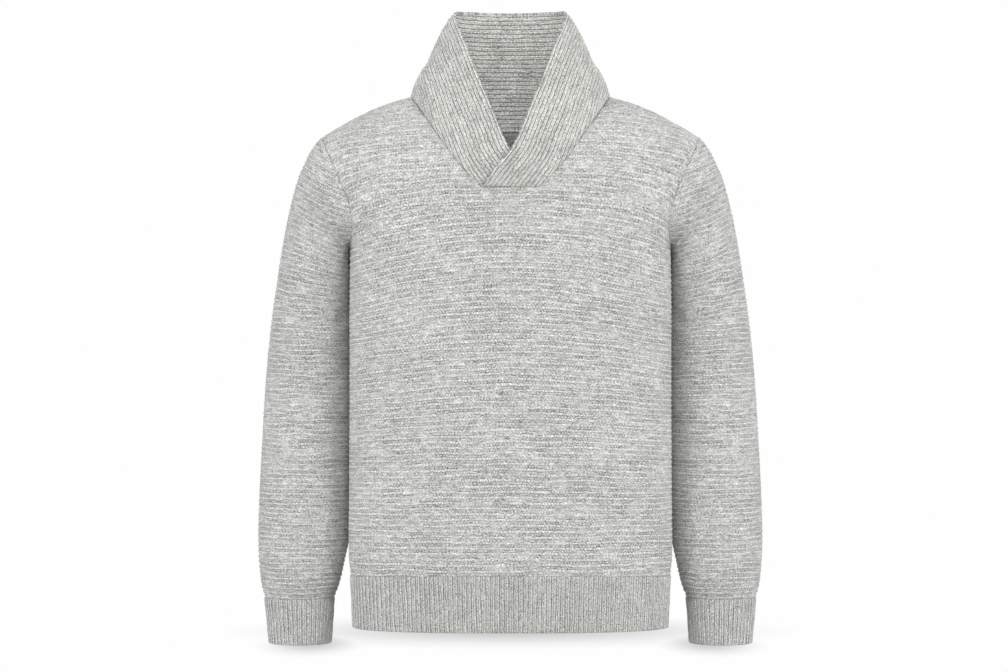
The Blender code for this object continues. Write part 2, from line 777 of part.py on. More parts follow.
def main():
    for existing in list(bpy.data.objects):
        bpy.data.objects.remove(existing, do_unlink=True)

    front_outer, front_inner = make_panel(front=True)
    back_outer, back_inner = make_panel(front=False)
    add_piece("front_body", *panel_wall(front_outer, front_inner), "body")
    add_piece("back_body", *panel_wall(back_outer, back_inner), "body")

    def armhole_edge(front_grid, back_grid):
        front_edge = [row[-1] for row in front_grid[ROWS_BELOW:]]
        back_edge = [row[-1] for row in back_grid[ROWS_BELOW:]]
        return armhole_ring(front_edge, back_edge)

    sleeve_outer, sleeve_inner = make_sleeve(
        armhole_edge(front_outer, back_outer), armhole_edge(front_inner, back_inner)
    )
    wrist_angles = [2 * math.pi * i / len(sleeve_outer[0]) for i in range(len(sleeve_outer[0]))]
    cuff_points, cuff_faces = rib_band(
        sleeve_outer[-1], sleeve_inner[-1], sleeve_ring(CUFF_EDGE, wrist_angles),
        CUFF_COLUMNS_PER_SLEEVE_COLUMN,
    )
    halves = zip(("upper", "lower"), cut_at_elbow(sleeve_outer), cut_at_elbow(sleeve_inner))
    for half, outer, inner in halves:
        add_piece(f"sleeve_right_{half}", *tube_wall(outer, inner), "body")
        add_piece(f"sleeve_left_{half}", *tube_wall(mirrored(outer), mirrored(inner)), "body")
    add_piece("cuff_right", cuff_points, cuff_faces, "rib")
    add_piece("cuff_left", mirrored([cuff_points])[0], cuff_faces, "rib")

    hem_points, hem_faces = rib_band(
        closed_ring(front_outer[0], back_outer[0]),
        closed_ring(front_inner[0], back_inner[0]),
        closed_ring(oval_row(HEM_EDGE_Z, True), oval_row(HEM_EDGE_Z, False)),
        HEM_COLUMNS_PER_PANEL_COLUMN,
    )
    add_piece("hem_rib", hem_points, hem_faces, "rib")

    collar_outer, collar_inner = make_collar(
        seam_line(front_outer[-1], back_outer[-1]), seam_line(front_inner[-1], back_inner[-1])
    )
    add_piece("shawl_collar", *strip_wall(collar_outer, collar_inner), "rib")


main()
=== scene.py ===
import math

import bmesh
import bpy
import numpy as np
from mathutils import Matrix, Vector


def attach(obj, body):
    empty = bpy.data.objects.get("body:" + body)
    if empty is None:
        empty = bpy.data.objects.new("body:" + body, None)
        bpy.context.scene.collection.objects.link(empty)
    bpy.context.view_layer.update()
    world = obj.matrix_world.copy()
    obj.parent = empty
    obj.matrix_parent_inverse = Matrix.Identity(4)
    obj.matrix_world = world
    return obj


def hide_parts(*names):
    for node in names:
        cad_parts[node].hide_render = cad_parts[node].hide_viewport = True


# Shawl collar sweater in light heather grey, filled out as when worn, seen in soft studio light.
# Metres, +Z up, the front faces -Y. Left and right are the viewer's, seen from the front.

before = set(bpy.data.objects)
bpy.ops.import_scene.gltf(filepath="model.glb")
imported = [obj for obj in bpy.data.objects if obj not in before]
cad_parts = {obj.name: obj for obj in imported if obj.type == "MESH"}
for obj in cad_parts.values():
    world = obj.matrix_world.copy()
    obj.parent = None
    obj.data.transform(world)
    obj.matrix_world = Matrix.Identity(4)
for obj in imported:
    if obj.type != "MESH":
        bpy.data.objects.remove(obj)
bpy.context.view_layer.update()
print("frame loaded:", len(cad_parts), "solids")

# Photo frame and camera

photo = {
    "width": 1008,
    "metresPerPixel": 0.001285,  # at the sweater's middle
    "cameraDistance": 3.4,
    "cameraX": -0.0082,
    "cameraZ": -0.306,
    "sensor": 36.0,  # mm
}

camera = bpy.data.cameras.new("photoCamera")
camera.sensor_width = photo["sensor"]
camera.lens = photo["sensor"] * photo["cameraDistance"] / (photo["width"] * photo["metresPerPixel"])
cameraObject = bpy.data.objects.new("photoCamera", camera)
cameraObject.location = (photo["cameraX"], -photo["cameraDistance"], photo["cameraZ"])
cameraObject.rotation_euler = (math.radians(90), 0, 0)
bpy.context.scene.collection.objects.link(cameraObject)
bpy.context.scene.camera = cameraObject

# Small helpers

mm = 1000  # to a metre


def lerp(a, b, share):
    return a + (b - a) * share


def smooth(value):
    value = np.clip(value, 0.0, 1.0)
    return value * value * (3 - 2 * value)


def signedPower(value, power):
    return np.sign(value) * np.abs(value) ** power


def unit(vectors):
    return vectors / np.maximum(np.linalg.norm(vectors, axis=-1, keepdims=True), 1e-12)  # never by 0


def turnedTo(vectors, towards):  # turned round where they point the other way
    return np.where(np.sum(vectors * towards, axis=-1, keepdims=True) < 0, -vectors, vectors)


def spline(table, place, column):  # smooth curve through one column, the first column is the place
    rows = np.array(table, float)
    places, values = rows[:, 0], rows[:, column]
    slopes = np.empty_like(values)
    slopes[1:-1] = (values[2:] - values[:-2]) / (places[2:] - places[:-2])
    slopes[0] = (values[1] - values[0]) / (places[1] - places[0])
    slopes[-1] = (values[-1] - values[-2]) / (places[-1] - places[-2])
    place = np.clip(place, places[0], places[-1])
    i = np.clip(np.searchsorted(places, place, side="right") - 1, 0, len(rows) - 2)
    step = places[i + 1] - places[i]
    t = (place - places[i]) / step
    start = (2 * t**3 - 3 * t**2 + 1) * values[i] + (t**3 - 2 * t**2 + t) * step * slopes[i]
    end = (3 * t**2 - 2 * t**3) * values[i + 1] + (t**3 - t**2) * step * slopes[i + 1]
    return start + end


def unevenness(u, v, seed):  # soft random hills between -1 and 1, one for each unit square
    size = 256  # hills in the table, which then repeats
    table = np.random.default_rng(seed).uniform(-1, 1, (size, size))
    u, v = np.broadcast_arrays(u, v)
    i, j = np.floor(u).astype(int), np.floor(v).astype(int)
    a, b = smooth(u - i), smooth(v - j)
    i, j, nextI, nextJ = i % size, j % size, (i + 1) % size, (j + 1) % size
    low = lerp(table[i, j], table[nextI, j], a)
    high = lerp(table[i, nextJ], table[nextI, nextJ], a)
    return lerp(low, high, b)


# Body form, from the same numbers as the solids, so that the cloth lies where they do

body = {
    "wall": 0.0024,
    "power": 2.5,  # of the body's oval, 2 is an ellipse
    "sideSeamY": -0.025,
    "ridgeY": 0.008,  # of the shoulder's top
    "ridgeRound": 0.120,  # drop over which the shoulder's top rounds off
    "hemSeamZ": -0.610,
    "hemSeamRise": 0.005,  # at the middle of the front and back
    "hemEdgeZ": -0.6765,
    "tip": (0.242, -0.0505),  # x, z of the shoulder seam's outer end
    "shoulderPower": 1.45,
    "armpit": (0.2045, -0.195),
    "armholePower": 1.8,
    "armholeFront": 0.058,
    "armholeBack": 0.056,
    "armholeWrap": 0.6,  # how far its foot follows the body's oval
    "rowLiftPower": 1.2,  # how the rows above the armpit bend up to the shoulder
    "tipShareLeast": 0.0005,  # keeps the top row's oval from closing to a point
    "neckX": 0.127,
    "neckFootX": 0.036,
    "neckFront": (0.1205, 1.2),  # drop, power
    "neckBack": (0.0385, 2.6),
    "seamGap": 0.0003,
    "ribHeight": 0.0012,
    "columnSteps": (1.5, 10, 5),  # columns over half the foot, the neck and the shoulder
    "ovalSteps": 400,  # for measuring round a quarter of a row
    # z, half width, front depth, back depth
    "sections": (
        (-0.6765, 0.2005, 0.1045, 0.1055),
        (-0.6100, 0.2035, 0.1080, 0.1085),
        (-0.5850, 0.2060, 0.1100, 0.1110),
        (-0.5000, 0.2055, 0.1105, 0.1095),
        (-0.3800, 0.2050, 0.1115, 0.1080),
        (-0.2600, 0.2050, 0.1135, 0.1110),
        (-0.1950, 0.2045, 0.1135, 0.1145),
        (-0.1200, 0.2045, 0.1100, 0.1150),
        (0.0000, 0.2045, 0.1050, 0.1080),
    ),
}
tipX, tipZ = body["tip"]
armpitX, armpitZ = body["armpit"]
halfPower = 2 / body["power"]


def shoulderZ(x):
    share = np.clip((np.abs(x) - body["neckX"]) / (tipX - body["neckX"]), 0, 2)
    return tipZ * share ** body["shoulderPower"]


def topZ(x, front):
    x = np.abs(x)
    if front:
        drop, power = body["neckFront"]
        share = np.clip((x - body["neckFootX"]) / (body["neckX"] - body["neckFootX"]), 0, 1)
        neck = -drop * (1 - share**power)
    else:
        drop, power = body["neckBack"]
        neck = -drop * (1 - np.minimum(x / body["neckX"], 1) ** power)
    return np.where(x < body["neckX"], neck, shoulderZ(x))


def ridgeShare(drop):
    rest = 1 - np.clip(drop / body["ridgeRound"], 0, 1)
    return np.sqrt(1 - rest * rest)


def depthAt(z, middle, front):
    if front:
        return spline(body["sections"], z, 2) + middle
    return spline(body["sections"], z, 3) - middle


def bodySideX(y, z):
    seamY = body["sideSeamY"]
    full = np.where(y < seamY, depthAt(z, seamY, True), depthAt(z, seamY, False))
    share = np.clip(np.abs(y - seamY) / full, 0, 1)
    return spline(body["sections"], z, 1) * (1 - share ** body["power"]) ** (1 / body["power"])


def armholePoint(angle, front):  # angle 0 is the shoulder's tip, pi the armpit
    z = lerp(tipZ, armpitZ, (1 - np.cos(angle)) / 2)
    rise = (z - armpitZ) / (tipZ - armpitZ)
    middle = lerp(body["sideSeamY"], body["ridgeY"], (1 + np.cos(angle)) / 2)
    reach = np.where(front, -body["armholeFront"], body["armholeBack"])
    y = middle + reach * np.sin(angle)
    footX = lerp(armpitX, bodySideX(y, armpitZ), body["armholeWrap"])
    return lerp(footX, tipX, np.clip(rise, 0, 1) ** body["armholePower"]), y, z


def rowForm(sideZ, front):  # half width of the row's oval, where it stops, and its middle
    share = np.clip((tipZ - sideZ) / (tipZ - armpitZ), body["tipShareLeast"], 1)
    angle = np.arccos(1 - 2 * share)
    x, y, z = armholePoint(angle, front)
    middle = lerp(body["sideSeamY"], body["ridgeY"], (1 + np.cos(angle)) / 2)
    full = depthAt(z, middle, front) * ridgeShare(shoulderZ(x) - z)
    stop = np.arccos(np.clip(np.abs(y - middle) / full, 0, 1) ** (body["power"] / 2))
    below = sideZ <= armpitZ
    halfWidth = np.where(below, spline(body["sections"], sideZ, 1), x / np.sin(stop) ** halfPower)
    return halfWidth, np.where(below, math.pi / 2, stop), np.where(below, body["sideSeamY"], middle)


def evenAngles(halfWidth, depth, shares):  # angles whose points share out a row's length
    angles = np.linspace(0, math.pi / 2, body["ovalSteps"] + 1)
    x = halfWidth * np.sin(angles) ** halfPower
    y = depth * np.abs(np.cos(angles)) ** halfPower
    lengths = np.concatenate([[0], np.cumsum(np.hypot(np.diff(x), np.diff(y)))])
    return np.copysign(np.interp(np.abs(shares) * lengths[-1], lengths, angles), shares)


def panelPoints(front, across, up):  # across from -1 to 1, up from 0 at the hem to 1 at the top
    hemWidth, _, hemMiddle = rowForm(np.array(body["hemSeamZ"]), front)
    hemAngle = evenAngles(hemWidth, depthAt(body["hemSeamZ"], hemMiddle, front), across)[None, :]
    tipWidth, tipStop, _ = rowForm(np.array(tipZ), front)
    foot, neck, shoulder = body["columnSteps"]
    stops = (0, foot, foot + neck, foot + neck + shoulder)
    topX = np.interp(np.abs(across) * stops[-1], stops, (0, body["neckFootX"], body["neckX"], tipX))
    topX = np.copysign(topX, across)[None, :]
    up = up[:, None]
    sideZ = lerp(body["hemSeamZ"], tipZ, up)
    halfWidth, stop, middle = rowForm(sideZ, front)
    high = np.arcsin(np.clip(np.abs(topX) / tipWidth, 0, 1) ** (body["power"] / 2)) / tipStop
    angle = lerp(hemAngle / (math.pi / 2), np.copysign(high, topX), smooth(up)) * stop
    hemZ = body["hemSeamZ"] + body["hemSeamRise"] * np.abs(np.cos(hemAngle)) ** (2 * halfPower)
    lift = np.clip((sideZ - armpitZ) / (tipZ - armpitZ), 0, 1) ** body["rowLiftPower"]
    z = lerp(hemZ, tipZ, up) + (topZ(topX, front) - tipZ) * lift
    x = halfWidth * signedPower(np.sin(angle), halfPower)
    depth = depthAt(z, middle, front) * np.abs(np.cos(angle)) ** halfPower
    depth = depth * ridgeShare(shoulderZ(x) - z)
    return np.stack([x, middle + (-1 if front else 1) * depth, z], axis=-1)


# Meshes

foldAngle = math.radians(75)  # a sharper fold, such as a cut edge, isn't shaded smooth


def gridNormals(grid, outward, around=False):
    if around:
        across = np.roll(grid, -1, axis=1) - np.roll(grid, 1, axis=1)
    else:
        across = np.gradient(grid, axis=1)
    return turnedTo(unit(np.cross(across, np.gradient(grid, axis=0))), outward)


def panelNormals(points, front):
    outward = points * np.array([1, 0, 0]) + np.array([0, -1 if front else 1, 0])
    return gridNormals(points, outward)


def lengthsAlong(grid, axis):  # distance from the first row or column, along the grid
    steps = np.linalg.norm(np.diff(grid, axis=axis), axis=-1)
    start = np.zeros_like(np.take(steps, [0], axis=axis))
    return np.concatenate([start, np.cumsum(steps, axis=axis)], axis=axis)


def gridFaces(rows, columns, around):  # corners of each face, and the same on the pattern's grid
    wide = columns if around else columns - 1
    r, c = np.meshgrid(np.arange(rows - 1), np.arange(wide), indexing="ij")
    r, c = r.ravel(), c.ravel()
    nextC = (c + 1) % columns
    corners = np.stack([r * columns + c, r * columns + nextC, (r + 1) * columns + nextC,
                        (r + 1) * columns + c], axis=1)
    patternWide = columns + 1 if around else columns
    pattern = np.stack([r * patternWide + c, r * patternWide + c + 1, (r + 1) * patternWide + c + 1,
                        (r + 1) * patternWide + c], axis=1)
    return corners, pattern


def addShell(name, outer, inner, outerPattern, innerPattern, around, material):
    # a closed cloth wall: a fine outer grid, a plainer inner grid, and the rims between them
    rows, columns = outer.shape[:2]
    innerRows, innerColumns = inner.shape[:2]
    rowSplit = (rows - 1) // (innerRows - 1)
    columnSplit = columns // innerColumns if around else (columns - 1) // (innerColumns - 1)
    innerFirst = rows * columns
    patternWide = outerPattern.shape[1]
    corners, patternCorners = gridFaces(rows, columns, around)
    innerCorners, innerPatternCorners = gridFaces(innerRows, innerColumns, around)
    faces = corners.tolist() + (innerCorners + innerFirst).tolist()
    facePatterns = patternCorners.tolist() + (innerPatternCorners + rows * patternWide).tolist()

    def addRim(run, ends):  # run: fine (row, column) places along the rim, ends: the two inner places
        face = [r * columns + c % columns for r, c in run]
        face += [innerFirst + r * innerColumns + c % innerColumns for r, c in reversed(ends)]
        faces.append(face)
        runPattern = [r * patternWide + c for r, c in run]
        facePatterns.append(runPattern + [runPattern[-1], runPattern[0]])

    for row, innerRow in ((0, 0), (rows - 1, innerRows - 1)):
        for k in range(innerColumns if around else innerColumns - 1):
            run = [(row, k * columnSplit + i) for i in range(columnSplit + 1)]
            addRim(run, [(innerRow, k), (innerRow, k + 1)])
    if not around:
        for column, innerColumn in ((0, 0), (columns - 1, innerColumns - 1)):
            for k in range(innerRows - 1):
                run = [(k * rowSplit + i, column) for i in range(rowSplit + 1)]
                addRim(run, [(k, innerColumn), (k + 1, innerColumn)])
    points = np.concatenate([outer.reshape(-1, 3), inner.reshape(-1, 3)])
    pattern = np.concatenate([outerPattern.reshape(-1, 2), innerPattern.reshape(-1, 2)])
    return addMesh(name, points, faces, pattern, facePatterns, material)


def addMesh(name, points, faces, pattern, facePatterns, material):
    mesh = bpy.data.meshes.new(name)
    mesh.from_pydata(points.tolist(), [], faces)
    knit = mesh.uv_layers.new(name="Knit")  # millimetres along the yarn, and across the ridges
    picks = np.array([i for corners in facePatterns for i in corners])
    knit.data.foreach_set("uv", pattern[picks].astype(np.float32).ravel())
    work = bmesh.new()
    work.from_mesh(mesh)
    bmesh.ops.recalc_face_normals(work, faces=work.faces)
    work.to_mesh(mesh)
    work.free()
    mesh.shade_smooth()
    mesh.set_sharp_from_angle(angle=foldAngle)
    mesh.materials.append(material)
    piece = bpy.data.objects.new(name, mesh)
    bpy.context.scene.collection.objects.link(piece)
    print(name, "made:", sum(len(face) - 2 for face in faces), "triangles")
    return piece


# Materials


def toLinear(code):
    values = [int(code[i:i + 2], 16) / 255 for i in (1, 3, 5)]
    return [v / 12.92 if v <= 0.04045 else ((v + 0.055) / 1.055) ** 2.4 for v in values] + [1.0]


def addNode(tree, kind, inputs=None, **settings):  # a node or a socket may be given as an input
    node = tree.nodes.new("ShaderNode" + kind)
    for name, value in settings.items():
        setattr(node, name, value)
    for socket, value in (inputs or {}).items():
        if isinstance(value, bpy.types.Node):
            value = value.outputs[0]
        if isinstance(value, bpy.types.NodeSocket):
            tree.links.new(value, node.inputs[socket])
        else:
            node.inputs[socket].default_value = value
    return node


# Every knit here is spun from light cotton with darker wool fibres, so it looks heathered: streaks of
# light and dark yarn along each strand, single dark fibres, and slow drifts of shade. It is knitted in loops
# with small pits between them. The colour has painted shade in the pits between loops and in the hollows
# between ridges, which leaves the crests lighter. It is matt, with a short fuzz.
yarn = {
    "finish": {
        "Roughness": 0.9,
        "Specular IOR Level": 0.25,
        "Sheen Weight": 0.2,
        "Sheen Roughness": 0.6,
    },
    "noiseApart": 7.3,  # from one noise to the next, so that no two are alike
    "noiseMiddle": 0.5,
    "patchRange": (0.35, 0.65),  # of the patch noise, from calm patches to lively ones
    "loopShift": 0.5,  # of a loop, from one strand to the next
    "streakApart": 7.31,  # from one strand to the next, so that each has its own streaks
    "streakPlane": 3.7,
    "streakDetail": 2.0,
    "averageSteps": 100,
    "bumpUnit": 0.001,  # heights are in mm
}


def marledKnit(look):
    material = bpy.data.materials.new(look["name"])
    material.use_nodes = True
    tree = material.node_tree
    shader = tree.nodes["Principled BSDF"]
    for socket, value in yarn["finish"].items():
        shader.inputs[socket].default_value = value
    place = addNode(tree, "UVMap", uv_map="Knit")

    noises = {}
    for i, (name, (along, across, detail)) in enumerate(look["noises"].items()):
        spot = addNode(tree, "VectorMath", {0: place, 1: (1 / along, 1 / across, 0),
                                            2: (0, 0, yarn["noiseApart"] * i)}, operation="MULTIPLY_ADD")
        noises[name] = addNode(tree, "TexNoise", {"Vector": spot, "Scale": 1.0, "Detail": detail})

    # the loops wander off their rows a little
    wander = addNode(tree, "VectorMath", {0: noises["wander"].outputs["Color"], 1: look["wanderMm"],
                                          2: place}, operation="MULTIPLY_ADD")
    moved = addNode(tree, "SeparateXYZ", {0: wander})
    strands = addNode(tree, "Math", {0: moved.outputs[1], 1: look["strandMm"]}, operation="DIVIDE")
    strand = addNode(tree, "Math", {0: strands}, operation="FLOOR")
    strandPlace = addNode(tree, "Math", {0: strands}, operation="FRACT")
    strandTurn = addNode(tree, "Math", {0: strandPlace, 1: math.pi}, operation="MULTIPLY")
    strandRise = addNode(tree, "Math", {0: strandTurn}, operation="SINE")
    loops = addNode(tree, "Math", {0: moved.outputs[0], 1: look["loopMm"]}, operation="DIVIDE")
    loops = addNode(tree, "Math", {0: strand, 1: yarn["loopShift"], 2: loops}, operation="MULTIPLY_ADD")
    loops = addNode(tree, "Math", {0: strandRise, 1: look["lean"], 2: loops}, operation="MULTIPLY_ADD")
    loopTurn = addNode(tree, "Math", {0: loops, 1: 2 * math.pi}, operation="MULTIPLY")
    loopRise = addNode(tree, "Math", {0: loopTurn}, operation="COSINE")
    loopRise = addNode(tree, "MapRange", {0: loopRise, 1: -1.0, 2: 1.0, 3: 1 - look["loopDepth"], 4: 1.0})
    bead = addNode(tree, "Math", {0: strandRise, 1: loopRise}, operation="MULTIPLY")
    pit = addNode(tree, "Math", {0: 1.0, 1: bead}, operation="SUBTRACT")
    pit = addNode(tree, "Math", {0: pit, 1: look["pitPower"]}, operation="POWER")

    # in lively patches the pits, with their bump and the painted shade of pits and hollows, are strong, in
    # calm ones the streaks
    low, high = yarn["patchRange"]
    pitStrength, streakStrength = [
        addNode(tree, "MapRange", {0: noises["patch"], 1: low, 2: high, 3: look[use][0], 4: look[use][1]})
        for use in ("pitStrength", "streakStrength")]

    # each strand has its own light and dark stretches
    streakAlong = addNode(tree, "Math", {0: moved.outputs[0], 1: look["streakMm"]}, operation="DIVIDE")
    streakAcross = addNode(tree, "Math", {0: strand, 1: yarn["streakApart"]}, operation="MULTIPLY")
    streakSpot = addNode(tree, "CombineXYZ", {0: streakAlong, 1: streakAcross, 2: yarn["streakPlane"]})
    streak = addNode(tree, "TexNoise", {"Vector": streakSpot, "Scale": 1.0,
                                        "Detail": yarn["streakDetail"]})

    # painted shade in the hollow between two ridges, from the same count as the mesh
    flat = addNode(tree, "SeparateXYZ", {0: place})
    hollow = addNode(tree, "Math", {0: flat.outputs[1], 1: math.pi / look["ridgeMm"]},
                     operation="MULTIPLY")
    hollow = addNode(tree, "Math", {0: hollow}, operation="COSINE")
    hollow = addNode(tree, "Math", {0: hollow}, operation="ABSOLUTE")
    hollow = addNode(tree, "Math", {0: hollow, 1: look["hollowPower"]}, operation="POWER")

    # each part with its average, and how strong it is from place to place
    turns = np.linspace(0, math.pi, yarn["averageSteps"])
    hollowAverage = np.mean(np.abs(np.cos(turns)) ** look["hollowPower"])
    loopAverage = 1 - look["loopDepth"] * (1 - np.cos(2 * turns)) / 2
    pitAverage = np.mean((1 - np.sin(turns)[:, None] * loopAverage[None, :]) ** look["pitPower"])
    parts = {
        "streak": (streak, yarn["noiseMiddle"], streakStrength),
        "drift": (noises["drift"], yarn["noiseMiddle"], 1.0),
        "speck": (noises["speck"], yarn["noiseMiddle"], 1.0),
        # pit and hollow, in a shade list, are painted shade in the pits and the hollows between ridges; the
        # pit also sets the bump
        "pit": (pit, pitAverage, pitStrength),
        "hollow": (hollow, hollowAverage, pitStrength),
    }
    mixed = {}
    for use in ("shade", "heightMm"):
        total = look["level"] if use == "shade" else 0.0
        for name, weight in look[use].items():
            value, average, strength = parts[name]
            part = addNode(tree, "Math", {0: value, 1: average}, operation="SUBTRACT")
            part = addNode(tree, "Math", {0: part, 1: strength}, operation="MULTIPLY")
            total = addNode(tree, "Math", {0: part, 1: weight, 2: total}, operation="MULTIPLY_ADD")
        mixed[use] = total
    ramp = addNode(tree, "ValToRGB", {0: mixed["shade"]})
    stops = ramp.color_ramp.elements
    stops[0].color, stops[1].color = toLinear(look["darkYarn"]), toLinear(look["lightYarn"])
    stops.new(0.5).color = toLinear(look["middleYarn"])
    tree.links.new(ramp.outputs[0], shader.inputs["Base Color"])

    bump = addNode(tree, "Bump", {"Height": mixed["heightMm"], "Distance": yarn["bumpUnit"]})
    tree.links.new(bump.outputs[0], shader.inputs["Normal"])
    return material


# Two strands of yarn to a ridge. A strength is that of calm patches and that of lively ones. Each noise
# has its size along the yarn and across it in mm, and its detail. The specks stand for single fibres,
# which are finer than the render shows, so they are drawn about five times as coarse. In each shade list,
# pit and hollow are painted shade: darker colour in the pits between loops and the hollows between ridges.
crossRidged = {
    "name": "crossRidgedKnit",  # rows of small loops over low cross ridges
    "ridgeMm": 7.0,
    "strandMm": 3.5,
    "loopMm": 3.7,
    "lean": 0.0,
    "loopDepth": 0.8,
    "pitPower": 1.4,
    "hollowPower": 3.0,
    "streakMm": 8.5,
    "wanderMm": (7.5, 3.2, 0.0),
    "pitStrength": (0.25, 1.45),
    "streakStrength": (1.4, 0.7),
    "noises": {
        "wander": (6.0, 3.5, 1.0),
        "patch": (26.0, 7.0, 1.0),
        "drift": (70.0, 30.0, 1.0),
        "speck": (2.3, 1.5, 1.0),
    },
    "level": 0.445,
    "shade": {"streak": 0.62, "drift": 0.15, "speck": 1.5, "pit": -0.41, "hollow": -0.18},
    "heightMm": {"pit": -0.8, "speck": 0.7, "streak": 0.4},
    "darkYarn": "#6c6d6a",
    "middleYarn": "#bdbebb",
    "lightYarn": "#f4f4f0",
}
fineRib = {
    "name": "fineRibKnit",  # one by one rib: each rib shows the two slanting legs of its stitches
    "ridgeMm": 6.3,
    "strandMm": 3.15,
    "loopMm": 3.4,
    "lean": 0.8,
    "loopDepth": 0.45,
    "pitPower": 1.8,
    "hollowPower": 6.0,
    "streakMm": 9.0,
    "wanderMm": (2.5, 1.0, 0.0),
    "pitStrength": (0.7, 1.3),
    "streakStrength": (1.2, 0.8),
    "noises": {
        "wander": (9.0, 4.0, 1.0),
        "patch": (20.0, 14.0, 1.0),
        "drift": (60.0, 30.0, 1.0),
        "speck": (2.2, 1.6, 1.0),
    },
    "level": 0.40,
    "shade": {"streak": 0.45, "drift": 0.15, "speck": 1.5, "pit": -0.42, "hollow": -0.15},
    "heightMm": {"pit": -0.6, "speck": 0.6, "streak": 0.3},
    "darkYarn": "#6a6b69",
    "middleYarn": "#b8b8b5",
    "lightYarn": "#ebebe7",
}
collarRib = {
    "name": "collarRibKnit",  # smoother ribs in brighter yarn, with thin grooves darkened by painted shade
    "ridgeMm": 5.0,
    "strandMm": 2.5,
    "loopMm": 3.4,
    "lean": 0.8,
    "loopDepth": 0.35,
    "pitPower": 2.0,
    "hollowPower": 5.0,
    "streakMm": 11.0,
    "wanderMm": (2.0, 0.5, 0.0),
    "pitStrength": (0.75, 1.2),
    "streakStrength": (1.2, 0.8),
    "noises": {
        "wander": (9.0, 4.0, 1.0),
        "patch": (16.0, 6.0, 1.0),
        "drift": (26.0, 12.0, 1.0),
        "speck": (2.4, 1.4, 1.0),
    },
    "level": 0.34,
    "shade": {"streak": 0.65, "drift": 0.30, "speck": 1.7, "pit": -0.42, "hollow": -0.34},
    "heightMm": {"pit": -0.5, "speck": 0.6, "streak": 0.4},
    "darkYarn": "#70716e",
    "middleYarn": "#c6c6c2",
    "lightYarn": "#f6f6f2",
}
crossRidgedKnit = marledKnit(crossRidged)
fineRibKnit = marledKnit(fineRib)
collarRibKnit = marledKnit(collarRib)
print("knits mixed")

# Creases, ridges and ribs, in the mesh

crease = {
    "arc": 0.12,  # of its length, how far a crease bends off the straight line
    "fade": 3,  # each end fades out over its length divided by this
    "brim": (0.45, 2),  # raised sides: height and width, set against the trough's
}


def creaseDepth(x, z, creases):
    depth = np.zeros(np.broadcast(x, z).shape)
    brimHeight, brimWidth = crease["brim"]
    for x0, z0, x1, z1, deep, wide in creases:
        run = math.hypot(x1 - x0, z1 - z0)
        dx, dz = (x1 - x0) / run, (z1 - z0) / run
        along = (x - x0) * dx + (z - z0) * dz
        beside = (x - x0) * dz - (z - z0) * dx + crease["arc"] * run * np.sin(math.pi * along / run) ** 2
        ends = smooth(along / run * crease["fade"]) * smooth((run - along) / run * crease["fade"])
        trough = np.exp(-(beside / wide) ** 2) - brimHeight * np.exp(-(beside / wide / brimWidth) ** 2)
        depth += deep * ends * trough
    return depth


def ridgeProfile(count, power=2):  # 1 on a ridge, hollows at the whole numbers, narrower with more power
    return 1 - np.abs(np.cos(math.pi * count)) ** power


def thickAndThin(spread, along, row, shift, seed):  # each course or rib is uneven in its own way
    middle, vary = spread
    slip, step = shift
    return middle + vary * unevenness(along + row * slip, row * step, seed)


def rolledIn(height, fromSeam, seamRoll):  # the cloth turns down to its seams
    width, depth = seamRoll
    return height * smooth(fromSeam / width) - depth * (1 - smooth(fromSeam / width))


# Front and back

panelLook = {
    "pitch": 0.0070,  # from ridge to ridge
    "height": 0.0010,
    "wander": 0.20,  # of a pitch
    "wanderSize": (0.045, 0.02),  # along a course, and up the cloth
    "strength": (0.75, 0.75),  # of the height: its middle, and how far it varies
    "strengthSize": 0.022,  # of a stretch, along a course
    "courseShift": (3.7, 0.91),  # of the hills, from course to course
    "climbBack": 0.6,  # share of the way front to back that counts as a climb
    "rowsBelow": 304,  # below the armpit
    "rowsAbove": 152,
    "columns": 165,
    "innerSplit": (8, 5),  # outer rows and columns to one on the inside
    "seamRoll": (0.0030, 0.0002),  # how far in from a seam the cloth turns down, and by how much
    "seeds": {"frontPanel": (5, 15), "backPanel": (6, 16)},  # wander, strength
    # arch of the ridges towards the sides: z, drop at the side seam
    "arch": (
        (-0.61, 0.000), (-0.50, 0.004), (-0.35, 0.018), (-0.22, 0.030), (-0.12, 0.012), (0.0, -0.008)),
    # x0, z0, x1, z1, depth, half width
    "frontCreases": (
        (-0.196, -0.205, -0.130, -0.245, 0.0022, 0.010),
        (-0.190, -0.235, -0.150, -0.300, 0.0016, 0.009),
        (0.197, -0.200, 0.142, -0.232, 0.0020, 0.010),
        (0.192, -0.228, 0.140, -0.290, 0.0018, 0.011),
        (-0.170, -0.560, -0.060, -0.585, 0.0012, 0.009),
        (0.060, -0.570, 0.165, -0.548, 0.0014, 0.010),
        (-0.060, -0.480, 0.040, -0.505, 0.0008, 0.012),
        (0.116, -0.023, 0.141, -0.035, 0.0036, 0.0030),
        (0.121, -0.008, 0.139, -0.016, 0.0030, 0.0028),
        (-0.138, -0.008, -0.124, -0.036, 0.0030, 0.0028),
    ),
    "backCreases": (
        (-0.192, -0.205, -0.120, -0.262, 0.0026, 0.012),
        (-0.186, -0.245, -0.135, -0.330, 0.0018, 0.010),
        (0.193, -0.202, 0.128, -0.252, 0.0024, 0.011),
        (0.188, -0.240, 0.120, -0.318, 0.0020, 0.012),
        (-0.120, -0.500, 0.020, -0.530, 0.0026, 0.014),
        (0.010, -0.545, 0.130, -0.520, 0.0022, 0.012),
        (-0.150, -0.572, -0.030, -0.583, 0.0018, 0.009),
        (-0.060, -0.090, 0.050, -0.096, 0.0016, 0.012),
    ),
}


